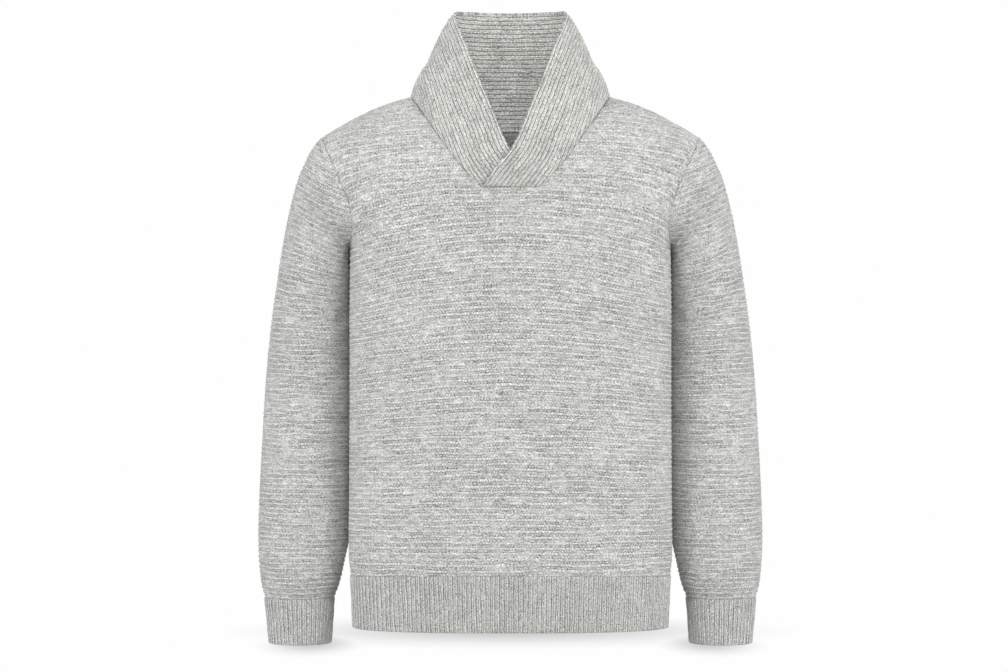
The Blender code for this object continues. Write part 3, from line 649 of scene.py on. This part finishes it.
def makePanel(name, front):
    look = panelLook
    armpitUp = (armpitZ - body["hemSeamZ"]) / (tipZ - body["hemSeamZ"])
    below = np.linspace(0, armpitUp, look["rowsBelow"], endpoint=False)
    turn = np.linspace(0, math.pi, look["rowsAbove"] + 1)
    up = np.concatenate([below, lerp(armpitUp, 1, (1 - np.cos(turn)) / 2)])
    across = np.linspace(-1, 1, look["columns"] + 1)
    outer = panelPoints(front, across, up)
    normals = panelNormals(outer, front)
    x, z = outer[..., 0], outer[..., 2]

    fromLeft = lengthsAlong(outer, 1)
    fromHem = lengthsAlong(outer, 0)
    fromSeam = np.minimum(np.minimum(fromLeft, fromLeft[:, -1:] - fromLeft),
                          np.minimum(fromHem, fromHem[-1:] - fromHem))
    along = fromLeft - fromLeft[:, [look["columns"] // 2]]
    arch = spline(look["arch"], z, 1)
    # courses are counted up the cloth, so they keep their width over the flat top of the shoulder
    climb = np.hypot(look["climbBack"] * np.diff(outer[..., 1], axis=0), np.diff(z, axis=0))
    climb = z[:1] + np.concatenate([np.zeros_like(z[:1]), np.cumsum(climb, axis=0)])
    count = (climb + arch * (x / armpitX) ** 2) / look["pitch"]
    wanderSeed, strengthSeed = look["seeds"][name]
    alongSize, upSize = look["wanderSize"]
    count = count + look["wander"] * unevenness(along / alongSize, climb / upSize, wanderSeed)
    course = np.floor(count + 0.5)  # from crest to crest
    strength = thickAndThin(look["strength"], along / look["strengthSize"], course,
                            look["courseShift"], strengthSeed)
    height = look["height"] * strength * (ridgeProfile(count) - 0.5)
    height -= creaseDepth(x, z, look["frontCreases" if front else "backCreases"])
    height = rolledIn(height, fromSeam, look["seamRoll"])
    shaped = outer + normals * height[..., None]
    pattern = np.stack([along * mm, count * crossRidged["ridgeMm"]], axis=-1)

    # front and back stay apart at the side seams
    seamRows, sides = slice(look["rowsBelow"] + 1), [0, -1]
    shaped[seamRows, sides, 1] += (-1 if front else 1) * body["seamGap"] / 2
    normals[seamRows, sides, 1] = 0
    rowStep, columnStep = look["innerSplit"]
    inner = (outer - unit(normals) * body["wall"])[::rowStep, ::columnStep]
    innerPattern = pattern[::rowStep, ::columnStep]
    return addShell(name, shaped, inner, pattern, innerPattern, False, crossRidgedKnit)


frontPanel = makePanel("frontPanel", True)
backPanel = makePanel("backPanel", False)

# Sleeves

sleeve = {
    "clearance": (0.0014, 0.15),  # from the body: the most, and its growth below the armpit
    "pitch": 0.0063,
    "height": 0.0013,
    "wander": 0.24,
    "wanderRound": (2.2, 4),  # in hills: radius and place of the ring that meets itself
    "wanderSize": 0.02,  # down the sleeve
    "strength": (0.75, 0.75),
    "strengthSize": 0.022,
    "courseShift": (3.7, 0.91),
    "around": 104,
    "rings": 480,
    "capRings": 24,  # between the armhole's seam and the first section
    "innerSplit": (8, 4),
    "seamRoll": (0.0030, 0.0002),
    "seamGap": 0.00005,
    "creaseGirth": 0.33,  # length round the sleeve that a turn stands for, in the creases
    "seeds": {"sleeveRight": (31, 32), "sleeveLeft": (41, 42)},
    # slope of the ridges, falling towards the body: z, slope
    "slope": ((-0.66, 0.0), (-0.40, 0.02), (-0.32, 0.06), (-0.25, 0.18), (-0.18, 0.44), (-0.13, 0.60),
              (-0.08, 0.68), (-0.04, 0.66)),
    # place, then x, y, z of the outer side, x, y, z of the inner side, half depth
    "sections": (
        (0, 0.2605, 0.003, -0.0760, 0.2050, -0.021, -0.1985, 0.0600),
        (1, 0.2735, 0.007, -0.1050, 0.2045, -0.014, -0.2040, 0.0620),
        (2, 0.2845, 0.012, -0.1450, 0.2030, -0.004, -0.2140, 0.0625),
        (3, 0.2935, 0.017, -0.1880, 0.2010, 0.007, -0.2310, 0.0620),
        (4, 0.3020, 0.022, -0.2400, 0.2000, 0.018, -0.2620, 0.0605),
        (5, 0.3105, 0.026, -0.3000, 0.2000, 0.025, -0.3150, 0.0590),
        (6, 0.3170, 0.028, -0.3700, 0.2000, 0.028, -0.3800, 0.0575),
        (7, 0.3210, 0.026, -0.4400, 0.2010, 0.026, -0.4450, 0.0555),
        (8, 0.3240, 0.021, -0.5050, 0.2030, 0.021, -0.5080, 0.0525),
        (9, 0.3250, 0.014, -0.5600, 0.2070, 0.014, -0.5610, 0.0490),
        (10, 0.3235, 0.009, -0.5950, 0.2135, 0.009, -0.5950, 0.0460),
        (11, 0.3205, 0.006, -0.6220, 0.2195, 0.006, -0.6220, 0.0430),
        (12, 0.3155, 0.004, -0.6410, 0.2265, 0.004, -0.6410, 0.0400),
    ),
    # place round the sleeve in turns from the inner side, z, the same at its other end, depth, half width
    "creases": (
        (0.03, -0.235, 0.26, -0.300, 0.0022, 0.010),
        (0.05, -0.275, 0.20, -0.350, 0.0016, 0.009),
        (0.10, -0.372, 0.34, -0.345, 0.0018, 0.010),
        (0.04, -0.420, 0.25, -0.442, 0.0014, 0.009),
        (0.12, -0.560, 0.36, -0.585, 0.0014, 0.008),
        (0.97, -0.240, 0.72, -0.310, 0.0022, 0.011),
        (0.90, -0.350, 0.66, -0.388, 0.0024, 0.010),
        (0.95, -0.400, 0.74, -0.455, 0.0018, 0.011),
        (0.88, -0.575, 0.62, -0.592, 0.0016, 0.008),
    ),
}


def sleeveRing(section, angles):
    turn = ((1 - np.cos(angles)) / 2)[:, None]
    ring = lerp(section[None, :3], section[None, 3:6], turn)
    ring[:, 1] -= section[6] * np.sin(angles)
    x, y, z = ring.T
    most, growth = sleeve["clearance"]
    room = np.minimum(most, (armpitZ - z) * growth + body["seamGap"])
    ring[:, 0] = np.where(z < armpitZ, np.maximum(x, bodySideX(y, z) + room), x)
    return ring


def sleeveSection(share):
    sections = sleeve["sections"]
    place = share * sections[-1][0]
    return np.array([spline(sections, place, column) for column in range(1, len(sections[0]))])


def sleeveGrid(angles):  # a cap that leaves the armhole's seam smoothly, then rings down to the cuff
    rings = [sleeveRing(sleeveSection(share), angles) for share in np.linspace(0, 1, sleeve["rings"] + 1)]
    upper = np.mod(angles, 2 * math.pi)
    isFront = upper <= math.pi
    holeAngle = np.where(isFront, upper, 2 * math.pi - upper)
    edge = np.stack(armholePoint(holeAngle, isFront), axis=-1)
    edge[:, 0] += sleeve["seamGap"]
    start = unit(rings[1] - rings[0]) * np.linalg.norm(rings[0] - edge, axis=-1, keepdims=True)
    cap = []
    for t in np.linspace(0, 1, sleeve["capRings"], endpoint=False):
        cap.append(lerp(edge, rings[0] - start * (1 - t), smooth(t)))
    return np.array(cap + rings)


def makeSleeve(name, side):
    look = sleeve
    angles = math.pi + np.linspace(0, 2 * math.pi, look["around"], endpoint=False)
    outer = sleeveGrid(angles)
    normals = gridNormals(outer, outer - outer.mean(axis=1, keepdims=True), around=True)
    x, z = outer[..., 0], outer[..., 2]
    middleX = lerp(x.min(axis=1, keepdims=True), x.max(axis=1, keepdims=True), 0.5)
    count = (z - spline(look["slope"], z, 1) * (x - middleX)) / look["pitch"]
    count = np.concatenate([count, count[:, :1]], axis=1)
    around = lengthsAlong(np.concatenate([outer, outer[:, :1]], axis=1), 1)
    down = lengthsAlong(outer, 0)
    turns = np.linspace(0, 1, look["around"] + 1)[None, :]
    wanderSeed, strengthSeed = look["seeds"][name]
    radius, start = look["wanderRound"]
    wave = unevenness(np.sin(2 * math.pi * turns) * radius + start,
                      z[:, [0]] / look["wanderSize"] + np.cos(2 * math.pi * turns) * radius, wanderSeed)
    count = count + look["wander"] * wave
    course = np.floor(count + 0.5)  # from crest to crest
    strength = thickAndThin(look["strength"], around / look["strengthSize"], course,
                            look["courseShift"], strengthSeed)
    height = (look["height"] * strength * (ridgeProfile(count) - 0.5))[:, :-1]
    girth = look["creaseGirth"]
    creases = [(turn0 * girth, z0, turn1 * girth, z1, deep, wide)
               for turn0, z0, turn1, z1, deep, wide in look["creases"]]
    height = height - creaseDepth(turns[:, :-1] * girth, z, creases)
    height = rolledIn(height, np.minimum(down, down[-1:] - down), look["seamRoll"])
    mirror = np.array([side, 1, 1])
    shaped = (outer + normals * height[..., None]) * mirror
    rowStep, columnStep = look["innerSplit"]
    inner = (outer - normals * body["wall"])[::rowStep, ::columnStep] * mirror
    pattern = np.stack([around * mm, count * crossRidged["ridgeMm"]], axis=-1)
    innerPattern = pattern[::rowStep, ::columnStep]
    return addShell(name, shaped, inner, pattern, innerPattern, True, crossRidgedKnit)


sleeveRight = makeSleeve("sleeveRight", 1)
sleeveLeft = makeSleeve("sleeveLeft", -1)

# Ribbed bands: cuffs and hem

ribBand = {
    "samplesPerRib": 8,
    "rows": 24,
    "innerSplit": 4,
    "ribPower": 3,  # rounder ribs with narrower grooves than 2 gives
    "wander": 0.10,  # of a rib
    "wanderSize": (9, 0.03),  # ribs to a hill round the band, and metres up it
    "strength": (0.85, 0.4),
    "strengthSize": 0.012,
    "ribShift": (2.3, 0.83),  # from rib to rib
    "edgeRound": (0.0022, 0.0012),  # how far up the free edge is rounded, and by how much
    "seamRoll": (0.0030, 0.0007),
}
cuff = {
    "ribs": 44,
    "seeds": {"cuffRight": (51, 52), "cuffLeft": (53, 54)},
    # the wrist edge: x, y, z of its outer side, x, y, z of its inner side, half depth
    "edge": (0.3100, 0.002, -0.700, 0.2305, 0.002, -0.700, 0.0360),
}
hem = {
    "ribs": 165,
    "seeds": (61, 62),
}


def levelNormals(ring):
    along = np.roll(ring, -1, axis=0) - np.roll(ring, 1, axis=0)
    normals = unit(np.stack([along[:, 1], -along[:, 0], np.zeros(len(ring))], axis=-1))
    return turnedTo(normals, ring - ring.mean(axis=0))


def makeBand(name, top, bottom, ribs, seeds, side):
    look = ribBand
    top = top - np.array([0, 0, body["seamGap"]])
    shares = (1 - np.cos(np.linspace(0, math.pi, look["rows"] + 1))) / 2
    base = lerp(bottom[None], top[None], shares[:, None, None])
    normals = np.array([levelNormals(ring) for ring in base])
    columns = top.shape[0]
    fromEdge = np.linalg.norm(base - base[:1], axis=-1)
    fromEdge = np.concatenate([fromEdge, fromEdge[:, :1]], axis=1)
    turn = 2 * math.pi * np.arange(columns + 1)[None, :] / columns
    ribsToHill, upSize = look["wanderSize"]
    wave = unevenness(np.sin(turn) * ribs / ribsToHill,
                      np.cos(turn) * ribs / ribsToHill + fromEdge / upSize, seeds[0])
    count = np.arange(columns + 1)[None, :] / look["samplesPerRib"]
    rib = np.floor(count)
    count = count + look["wander"] * wave
    middle, vary = look["strength"]
    slip, step = look["ribShift"]
    strength = middle + vary * unevenness(rib * step, fromEdge / look["strengthSize"] + rib * slip, seeds[1])
    height = body["ribHeight"] * ridgeProfile(count, look["ribPower"]) * strength
    edgeWidth, edgeDepth = look["edgeRound"]
    roundEdge = edgeDepth * (1 - np.sqrt(1 - (1 - np.clip(fromEdge / edgeWidth, 0, 1)) ** 2))
    rollWidth, rollDepth = look["seamRoll"]
    height = height - roundEdge - rollDepth * (1 - smooth((fromEdge[-1:] - fromEdge) / rollWidth))
    mirror = np.array([side, 1, 1])
    shaped = (base + normals * height[:, :-1, None]) * mirror
    split = look["innerSplit"]
    inner = (base - normals * body["wall"])[::split, ::split] * mirror
    pattern = np.stack([fromEdge * mm, count * fineRib["ridgeMm"]], axis=-1)
    return addShell(name, shaped, inner, pattern, pattern[::split, ::split], True, fineRibKnit)


def hemRing(rowOf):
    steps = hem["ribs"] * ribBand["samplesPerRib"] // 2
    shares = np.linspace(-1, 1, steps + 1)
    return np.concatenate([rowOf(True, shares)[:-1], rowOf(False, shares)[::-1][:-1]])


def hemSeamRow(front, shares):
    return panelPoints(front, shares, np.array([0.0]))[0]


def hemEdgeRow(front, shares):
    z = body["hemEdgeZ"]
    halfWidth, depth = spline(body["sections"], z, 1), depthAt(z, body["sideSeamY"], front)
    angle = evenAngles(halfWidth, depth, shares)
    x = halfWidth * signedPower(np.sin(angle), halfPower)
    y = body["sideSeamY"] + (-1 if front else 1) * depth * np.abs(np.cos(angle)) ** halfPower
    return np.stack([x, y, np.full(len(shares), z)], axis=-1)


cuffAngles = math.pi + np.linspace(0, 2 * math.pi, cuff["ribs"] * ribBand["samplesPerRib"], endpoint=False)
cuffTop = sleeveRing(sleeveSection(1.0), cuffAngles)
cuffBottom = sleeveRing(np.array(cuff["edge"]), cuffAngles)
cuffRight = makeBand("cuffRight", cuffTop, cuffBottom, cuff["ribs"], cuff["seeds"]["cuffRight"], 1)
cuffLeft = makeBand("cuffLeft", cuffTop, cuffBottom, cuff["ribs"], cuff["seeds"]["cuffLeft"], -1)
hemBand = makeBand("hemBand", hemRing(hemSeamRow), hemRing(hemEdgeRow), hem["ribs"], hem["seeds"], 1)

# Collar

# A seam place counts from the middle of the back, left less than 0 and right more: 1 is where the
# shoulder seam meets the neck, 2 the near end of the neck's flat foot, 3 its far end.
collar = {
    "wall": 0.0030,
    # seam place, width of a rib there
    "pitch": ((0.0, 0.0056), (0.4, 0.0057), (0.68, 0.0058), (0.9, 0.0047), (1.3, 0.0048), (3.0, 0.0050)),
    "firstRib": 0.25,  # of a rib, taken up by the round of the edge
    "edgeCount": 0.45,  # of a rib, where the pattern stays over the round of the edge
    "ribPower": 3,
    "wander": 0.10,  # of a rib
    "wanderSize": (0.025, 0.8),  # metres along a rib, and hills to a rib across
    "strength": (0.8, 0.4),
    "strengthSize": 0.016,
    "ribShift": (2.7, 0.87),
    "insideRib": 0.0010,
    "insidePower": 1.6,
    "insideShift": (1.9, 0.87),
    "insideFade": 0.006,  # from the seam
    "lapGap": 0.0005,
    "lapZ": (-0.071, -0.015),  # full below, none above
    "bowPowers": (0.75, 0.8),  # towards the free edge, towards the seam
    "endPlace": 2.93,  # where each end of the strip stops
    "columns": 220,
    "rows": 176,
    "seamSteps": 60,
    "seamRowUp": 0.985,  # a row just below the neck seam
    "edgeBulge": 0.0010,
    "edgeTurns": (135, 90, 45),  # degrees, from the inside to the outside
    "seamRoll": (0.0030, 0.0007),
    "seeds": (71, 72, 73),  # wander, strength outside, strength inside
    # seam place, the free edge's x, y, z, and how far the cloth bows out
    "stations": (
        (0.00, 0.0000, 0.0680, 0.1160, 0.005),
        (0.39, 0.0320, 0.0630, 0.1160, 0.007),
        (0.67, 0.0590, 0.0460, 0.1155, 0.011),
        (0.83, 0.0720, 0.0150, 0.1090, 0.015),
        (1.00, 0.0590, -0.0340, 0.0700, 0.015),
        (1.20, 0.0420, -0.0660, 0.0240, 0.010),
        (1.45, 0.0207, -0.0950, -0.0280, 0.005),
        (1.75, 0.0045, -0.1090, -0.0670, 0.0025),
        (2.00, -0.0116, -0.1130, -0.0885, 0.0015),
        (2.50, -0.0240, -0.1130, -0.1040, 0.0005),
        (3.00, -0.0360, -0.1110, -0.1200, 0.0000),
    ),
}


def neckRow(front, steps, inset):  # points of a panel's top edge, moved in from its face
    across = np.array(steps) / sum(body["columnSteps"])
    points = panelPoints(front, across, np.array([collar["seamRowUp"], 1.0]))
    return (points - panelNormals(points, front) * inset)[1]


def seamCurve(inset):  # the neck seam as places and points, from the strip's left end to its right end
    foot, neck, _ = body["columnSteps"]
    fine = np.linspace(0, 1, collar["seamSteps"] + 1)
    rear = np.linspace(0, 1, 3 * collar["seamSteps"] + 1)
    footRow = neckRow(True, lerp(foot, -foot, fine), inset)
    leftRow = neckRow(True, -lerp(foot, foot + neck, fine), inset)
    rearRow = neckRow(False, lerp(-foot - neck, foot + neck, rear), inset)
    rightRow = neckRow(True, lerp(foot + neck, foot, fine), inset)
    rearPlaces = np.clip(rearRow[:, 0] / rearRow[-1, 0], -1, 1)
    places = [fine[:-1] - 3, fine[:-1] - 2, rearPlaces[:-1], 1 + fine[:-1], 2 + fine]
    points = [footRow[:-1], leftRow[:-1], rearRow[:-1], rightRow[:-1], footRow]
    return np.concatenate(places), np.concatenate(points)


def pointsAt(places, points, wanted):
    return np.stack([np.interp(wanted, places, points[:, i]) for i in range(3)], axis=-1)


def lapShare(points, places):  # 1 where the strip's ends lie on each other, 0 above the lap
    low, none = collar["lapZ"]
    return smooth((none - points[..., 2]) / (none - low)) * (np.abs(places) > 1)


def lapOffset(points, places):  # the right end lies in front, the left end behind, more towards its tip
    footX = body["neckFootX"]
    along = np.clip((points[..., 0] + footX) / (2 * footX), 0, 1)
    lap = collar["wall"] + body["ribHeight"] + collar["lapGap"]
    return lap * np.where(places > 0, along - 1, along) * lapShare(points, places)


def bowShape(t):  # 0 at both edges, 1 where the cloth bows out most
    edgePower, seamPower = collar["bowPowers"]
    fullest = edgePower / (edgePower + seamPower)
    peak = fullest**edgePower * (1 - fullest) ** seamPower
    return t**edgePower * (1 - t) ** seamPower / peak


def closedLoops(loops, pattern, last):  # faces round the strip's cloth, and over its two ends
    rows, columns = loops.shape[:2]
    faces, facePatterns = [corners.tolist() for corners in gridFaces(rows, columns, True)]
    for i in (0, rows - 1):
        ends = [[k, k + 1, 2 * last - k, 2 * last + 1 - k] for k in range(last)]
        ends.append([0] + list(range(2 * last + 1, columns)))
        faces += [[i * columns + k for k in end] for end in ends]
        facePatterns += [[i * pattern.shape[1] + k for k in end] for end in ends]
    return faces, facePatterns


def makeCollar(name):
    look = collar
    wanderSeed, outsideSeed, insideSeed = look["seeds"]
    level = np.array([1, 1, 0])

    # the seam and the free edge, with one point of each for a column
    allPlaces, seamPoints = seamCurve(0.0)
    _, insidePoints = seamCurve(body["wall"])
    run = lengthsAlong(seamPoints, 0)
    firstRun, lastRun = np.interp([-look["endPlace"], look["endPlace"]], allPlaces, run)
    seamRun = np.linspace(firstRun, lastRun, look["columns"] + 1)
    places = np.interp(seamRun, run, allPlaces)
    seam, inside = pointsAt(run, seamPoints, seamRun), pointsAt(run, insidePoints, seamRun)
    edge = np.stack([spline(look["stations"], np.abs(places), i) for i in (1, 2, 3)], axis=-1)
    edge[:, 0] *= np.where(places >= 0, 1.0, -1.0)
    bow = spline(look["stations"], np.abs(places), 4)
    edgeSlope, seamSlope = np.gradient(edge, axis=0), np.gradient(seam, axis=0)
    chord = seam - edge
    outward = turnedTo(unit(np.cross(edgeSlope + seamSlope, chord)), seam * level)

    # the cloth between them, bowed out, lapped, and then shared out evenly
    t = np.linspace(0, 1, look["rows"] + 1)[None, :, None]
    points = edge[:, None] + chord[:, None] * t + (outward * bow[:, None])[:, None] * bowShape(t)
    points[..., 1] += lapOffset(points, places[:, None])
    uneven = lengthsAlong(points, 1)
    fromEdge = t[..., 0] * uneven[:, -1:]
    for i in range(len(points)):
        points[i] = pointsAt(uneven[i], points[i].copy(), fromEdge[i])
    share = (fromEdge / fromEdge[:, -1:])[..., None]
    slope = lerp(edgeSlope[:, None], seamSlope[:, None], share)
    normals = turnedTo(unit(np.cross(slope, np.gradient(points, axis=1))), points * level)

    # ribs along the strip, outside and inside
    edgeRun = lengthsAlong(edge, 0)
    along = lerp(edgeRun[:, None] - edgeRun[-1] / 2, seamRun[:, None] - seamRun.mean(), share[..., 0])
    count = fromEdge / spline(look["pitch"], np.abs(places), 1)[:, None] + look["firstRib"]
    alongSize, acrossHills = look["wanderSize"]
    count = count + look["wander"] * unevenness(along / alongSize, count * acrossHills, wanderSeed)
    rib = np.floor(count)
    strengthPlace = along / look["strengthSize"]
    strength = thickAndThin(look["strength"], strengthPlace, rib, look["ribShift"], outsideSeed)
    ribs = body["ribHeight"] * ridgeProfile(count, look["ribPower"]) * strength
    rollWidth, rollDepth = look["seamRoll"]
    toSeam = fromEdge[:, -1:] - fromEdge
    roll = rollDepth * (1 - smooth(toSeam / rollWidth))
    outer = points + normals * (ribs - roll)[..., None]
    strength = thickAndThin(look["strength"], strengthPlace, rib, look["insideShift"], insideSeed)
    insideRibs = look["insideRib"] * ridgeProfile(count, look["insidePower"]) * strength
    insideRibs = insideRibs * (1 - lapShare(points, places[:, None])) * smooth(toSeam / look["insideFade"])
    inner = points - normals * (look["wall"] + insideRibs)[..., None]

    # along the seam both faces end on the body's edge
    rim = inside - seam
    away = turnedTo(unit(np.cross(seamSlope, rim)), points[:, -2] - points[:, -1])
    outer[:, -1] = points[:, -1] + away * body["seamGap"] - normals[:, -1] * rollDepth
    inner[:, -1] = points[:, -1] + rim + away * body["seamGap"]

    # the round of the free edge
    middle = (outer[:, 0] + inner[:, 0]) / 2
    half = (outer[:, 0] - inner[:, 0]) / 2
    bulge = unit(points[:, 0] - points[:, 1]) * look["edgeBulge"]
    turns = np.radians(look["edgeTurns"])
    roundEdge = np.stack([middle + half * math.cos(a) + bulge * math.sin(a) for a in turns], axis=1)

    loops = np.concatenate([outer, inner[:, ::-1], roundEdge], axis=1)
    pattern = np.stack([along * mm, np.maximum(count, look["edgeCount"]) * collarRib["ridgeMm"]], axis=-1)
    edgePattern = np.repeat(pattern[:, :1], len(turns) + 1, axis=1)
    pattern = np.concatenate([pattern, pattern[:, ::-1], edgePattern], axis=1)
    faces, facePatterns = closedLoops(loops, pattern, look["rows"])
    return addMesh(name, loops.reshape(-1, 3), faces, pattern.reshape(-1, 2), facePatterns, collarRibKnit)


shawlCollar = makeCollar("shawlCollar")

# Floor and light

studio = {
    "floorZ": -0.7015,
    "floorSize": 60.0,
    "lit": "#fefefe",
    # painted soft shadows of the body and the cuffs on the white sheet: middle x, y, reach sideways, front
    # to back
    "shadowPools": ((0.0, 0.15, 0.39, 0.22), (-0.255, 0.0, 0.075, 0.15), (0.255, 0.0, 0.075, 0.15)),
    # colour of the painted shadows, from the middle of a pool to its rim at 1
    "poolShade": (
        (0.24, "#d0d0d0"), (0.33, "#d8d8d8"), (0.47, "#e2e2e2"), (0.60, "#ececec"), (0.73, "#f4f4f4"),
        (0.87, "#fafafa"), (1.0, "#fefefe")),
    "dome": 0.42,
    "aim": (0.0, 0.0, -0.3),
    # watts, size, place
    "softboxes": {
        "leftKey": (52.0, 1.6, (-2.6, -3.0, 0.1)),
        "rightKey": (54.0, 1.6, (2.6, -3.0, 0.1)),
        "frontSoftbox": (58.0, 2.6, (0.2, -5.0, 0.2)),
        "topSoftbox": (21.0, 1.4, (0.0, -0.7, 2.2)),
        "leftSoftbox": (22.0, 1.6, (-2.8, -0.6, 0.1)),
        "rightSoftbox": (25.0, 1.6, (2.8, -0.6, 0.1)),
        "backSoftbox": (80.0, 2.0, (0.0, 3.6, 0.6)),
    },
    # a small strip light in the neck, for the collar's inside: watts, width, height, place, aim
    "neckStrip": (0.068, 0.07, 0.20, (0.0, -0.02, 0.005), (0.0, 1.0, 0.005)),
}

floorReach = studio["floorSize"] / 2
floorCorners = [(x * floorReach, y * floorReach, studio["floorZ"])
                for x, y in ((-1, -1), (1, -1), (1, 1), (-1, 1))]
floorMesh = bpy.data.meshes.new("studioFloor")
floorMesh.from_pydata(floorCorners, [], [(0, 1, 2, 3)])

# a white sheet that glows as if lit from behind, with the soft shadows of what it touches painted on it as
# darker pools
paintedShadowSheet = bpy.data.materials.new("whiteSheetPaintedShadows")
paintedShadowSheet.use_nodes = True
sheetTree = paintedShadowSheet.node_tree
sheetPlace = addNode(sheetTree, "TexCoord")
nearest = 1.0
for poolX, poolY, wide, deep in studio["shadowPools"]:
    poolPlace = addNode(sheetTree, "VectorMath", {
        0: sheetPlace.outputs["Object"], 1: (1 / wide, 1 / deep, 0), 2: (-poolX / wide, -poolY / deep, 0),
    }, operation="MULTIPLY_ADD")
    fromPool = addNode(sheetTree, "VectorMath", {0: poolPlace}, operation="LENGTH")
    nearest = addNode(sheetTree, "Math", {0: fromPool.outputs["Value"], 1: nearest}, operation="MINIMUM")
# the painted shadow: darker towards the middle of the nearest pool
paintedShadowColour = addNode(sheetTree, "ValToRGB", {0: nearest})
for stopPlace, _ in studio["poolShade"][1:-1]:
    paintedShadowColour.color_ramp.elements.new(stopPlace)
for stop, (stopPlace, stopColour) in zip(paintedShadowColour.color_ramp.elements, studio["poolShade"]):
    stop.position = stopPlace
    stop.color = toLinear(stopColour)
glow = addNode(sheetTree, "Emission", {"Color": paintedShadowColour})
sheetTree.links.new(glow.outputs[0], sheetTree.nodes["Material Output"].inputs["Surface"])
floorMesh.materials.append(paintedShadowSheet)
studioFloor = bpy.data.objects.new("studioFloor", floorMesh)
studioFloor.visible_diffuse = False  # the dome lights the sweater from below
bpy.context.scene.collection.objects.link(studioFloor)

world = bpy.data.worlds.new("studioDome")
world.use_nodes = True
domeTree = world.node_tree
backdrop = domeTree.nodes["Background"]
backdrop.inputs["Color"].default_value = toLinear(studio["lit"])
softLight = addNode(domeTree, "Background", {"Color": (1, 1, 1, 1), "Strength": studio["dome"]})
seen = addNode(domeTree, "LightPath")
domeMix = addNode(domeTree, "MixShader", {0: seen.outputs["Is Camera Ray"], 1: softLight, 2: backdrop})
domeTree.links.new(domeMix.outputs[0], domeTree.nodes["World Output"].inputs["Surface"])
bpy.context.scene.world = world
bpy.context.scene.view_settings.view_transform = "Standard"


def addLight(name, watts, width, height, place, aim):
    light = bpy.data.lights.new(name, "AREA")
    light.shape = "RECTANGLE"
    light.size, light.size_y = width, height
    light.energy = watts
    lightObject = bpy.data.objects.new(name, light)
    lightObject.location = place
    toAim = Vector(aim) - lightObject.location
    lightObject.rotation_euler = toAim.to_track_quat("-Z", "Y").to_euler()
    lightObject.visible_camera = False
    bpy.context.scene.collection.objects.link(lightObject)


for lightName, (watts, size, lightPlace) in studio["softboxes"].items():
    addLight(lightName, watts, size, size, lightPlace, studio["aim"])
addLight("neckStrip", *studio["neckStrip"])
print("studio lit")

# Which solids each piece stands for, and the cut of its cloth before it was sewn and worn

bodyPanels = ("frontPanel", "backPanel")
pieces = (
    # piece, nodes, slot, flat width and length, flat area, what it hangs from
    (frontPanel, ("front_body",), "body_knit", (0.490, 0.670), 0.281, ("backPanel", "shawlCollar")),
    (backPanel, ("back_body",), "body_knit", (0.570, 0.660), 0.325, ("frontPanel", "shawlCollar")),
    (sleeveRight, ("sleeve_right_upper", "sleeve_right_lower"), "body_knit", (0.430, 0.610), 0.188,
     bodyPanels),
    (sleeveLeft, ("sleeve_left_upper", "sleeve_left_lower"), "body_knit", (0.430, 0.610), 0.188,
     bodyPanels),
    (cuffRight, ("cuff_right",), "rib_knit", (0.252, 0.060), 0.0149, ("sleeveRight",)),
    (cuffLeft, ("cuff_left",), "rib_knit", (0.252, 0.060), 0.0149, ("sleeveLeft",)),
    (hemBand, ("hem_rib",), "rib_knit", (1.040, 0.072), 0.0735, bodyPanels),
    (shawlCollar, ("shawl_collar",), "collar_rib_knit", (0.890, 0.168), 0.0933, bodyPanels),
)
for piece, nodes, slot, flat, flatArea, hangsFrom in pieces:
    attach(piece, "root")
    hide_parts(*nodes)
print("pieces joined to the frame:", len(pieces))

print("done")
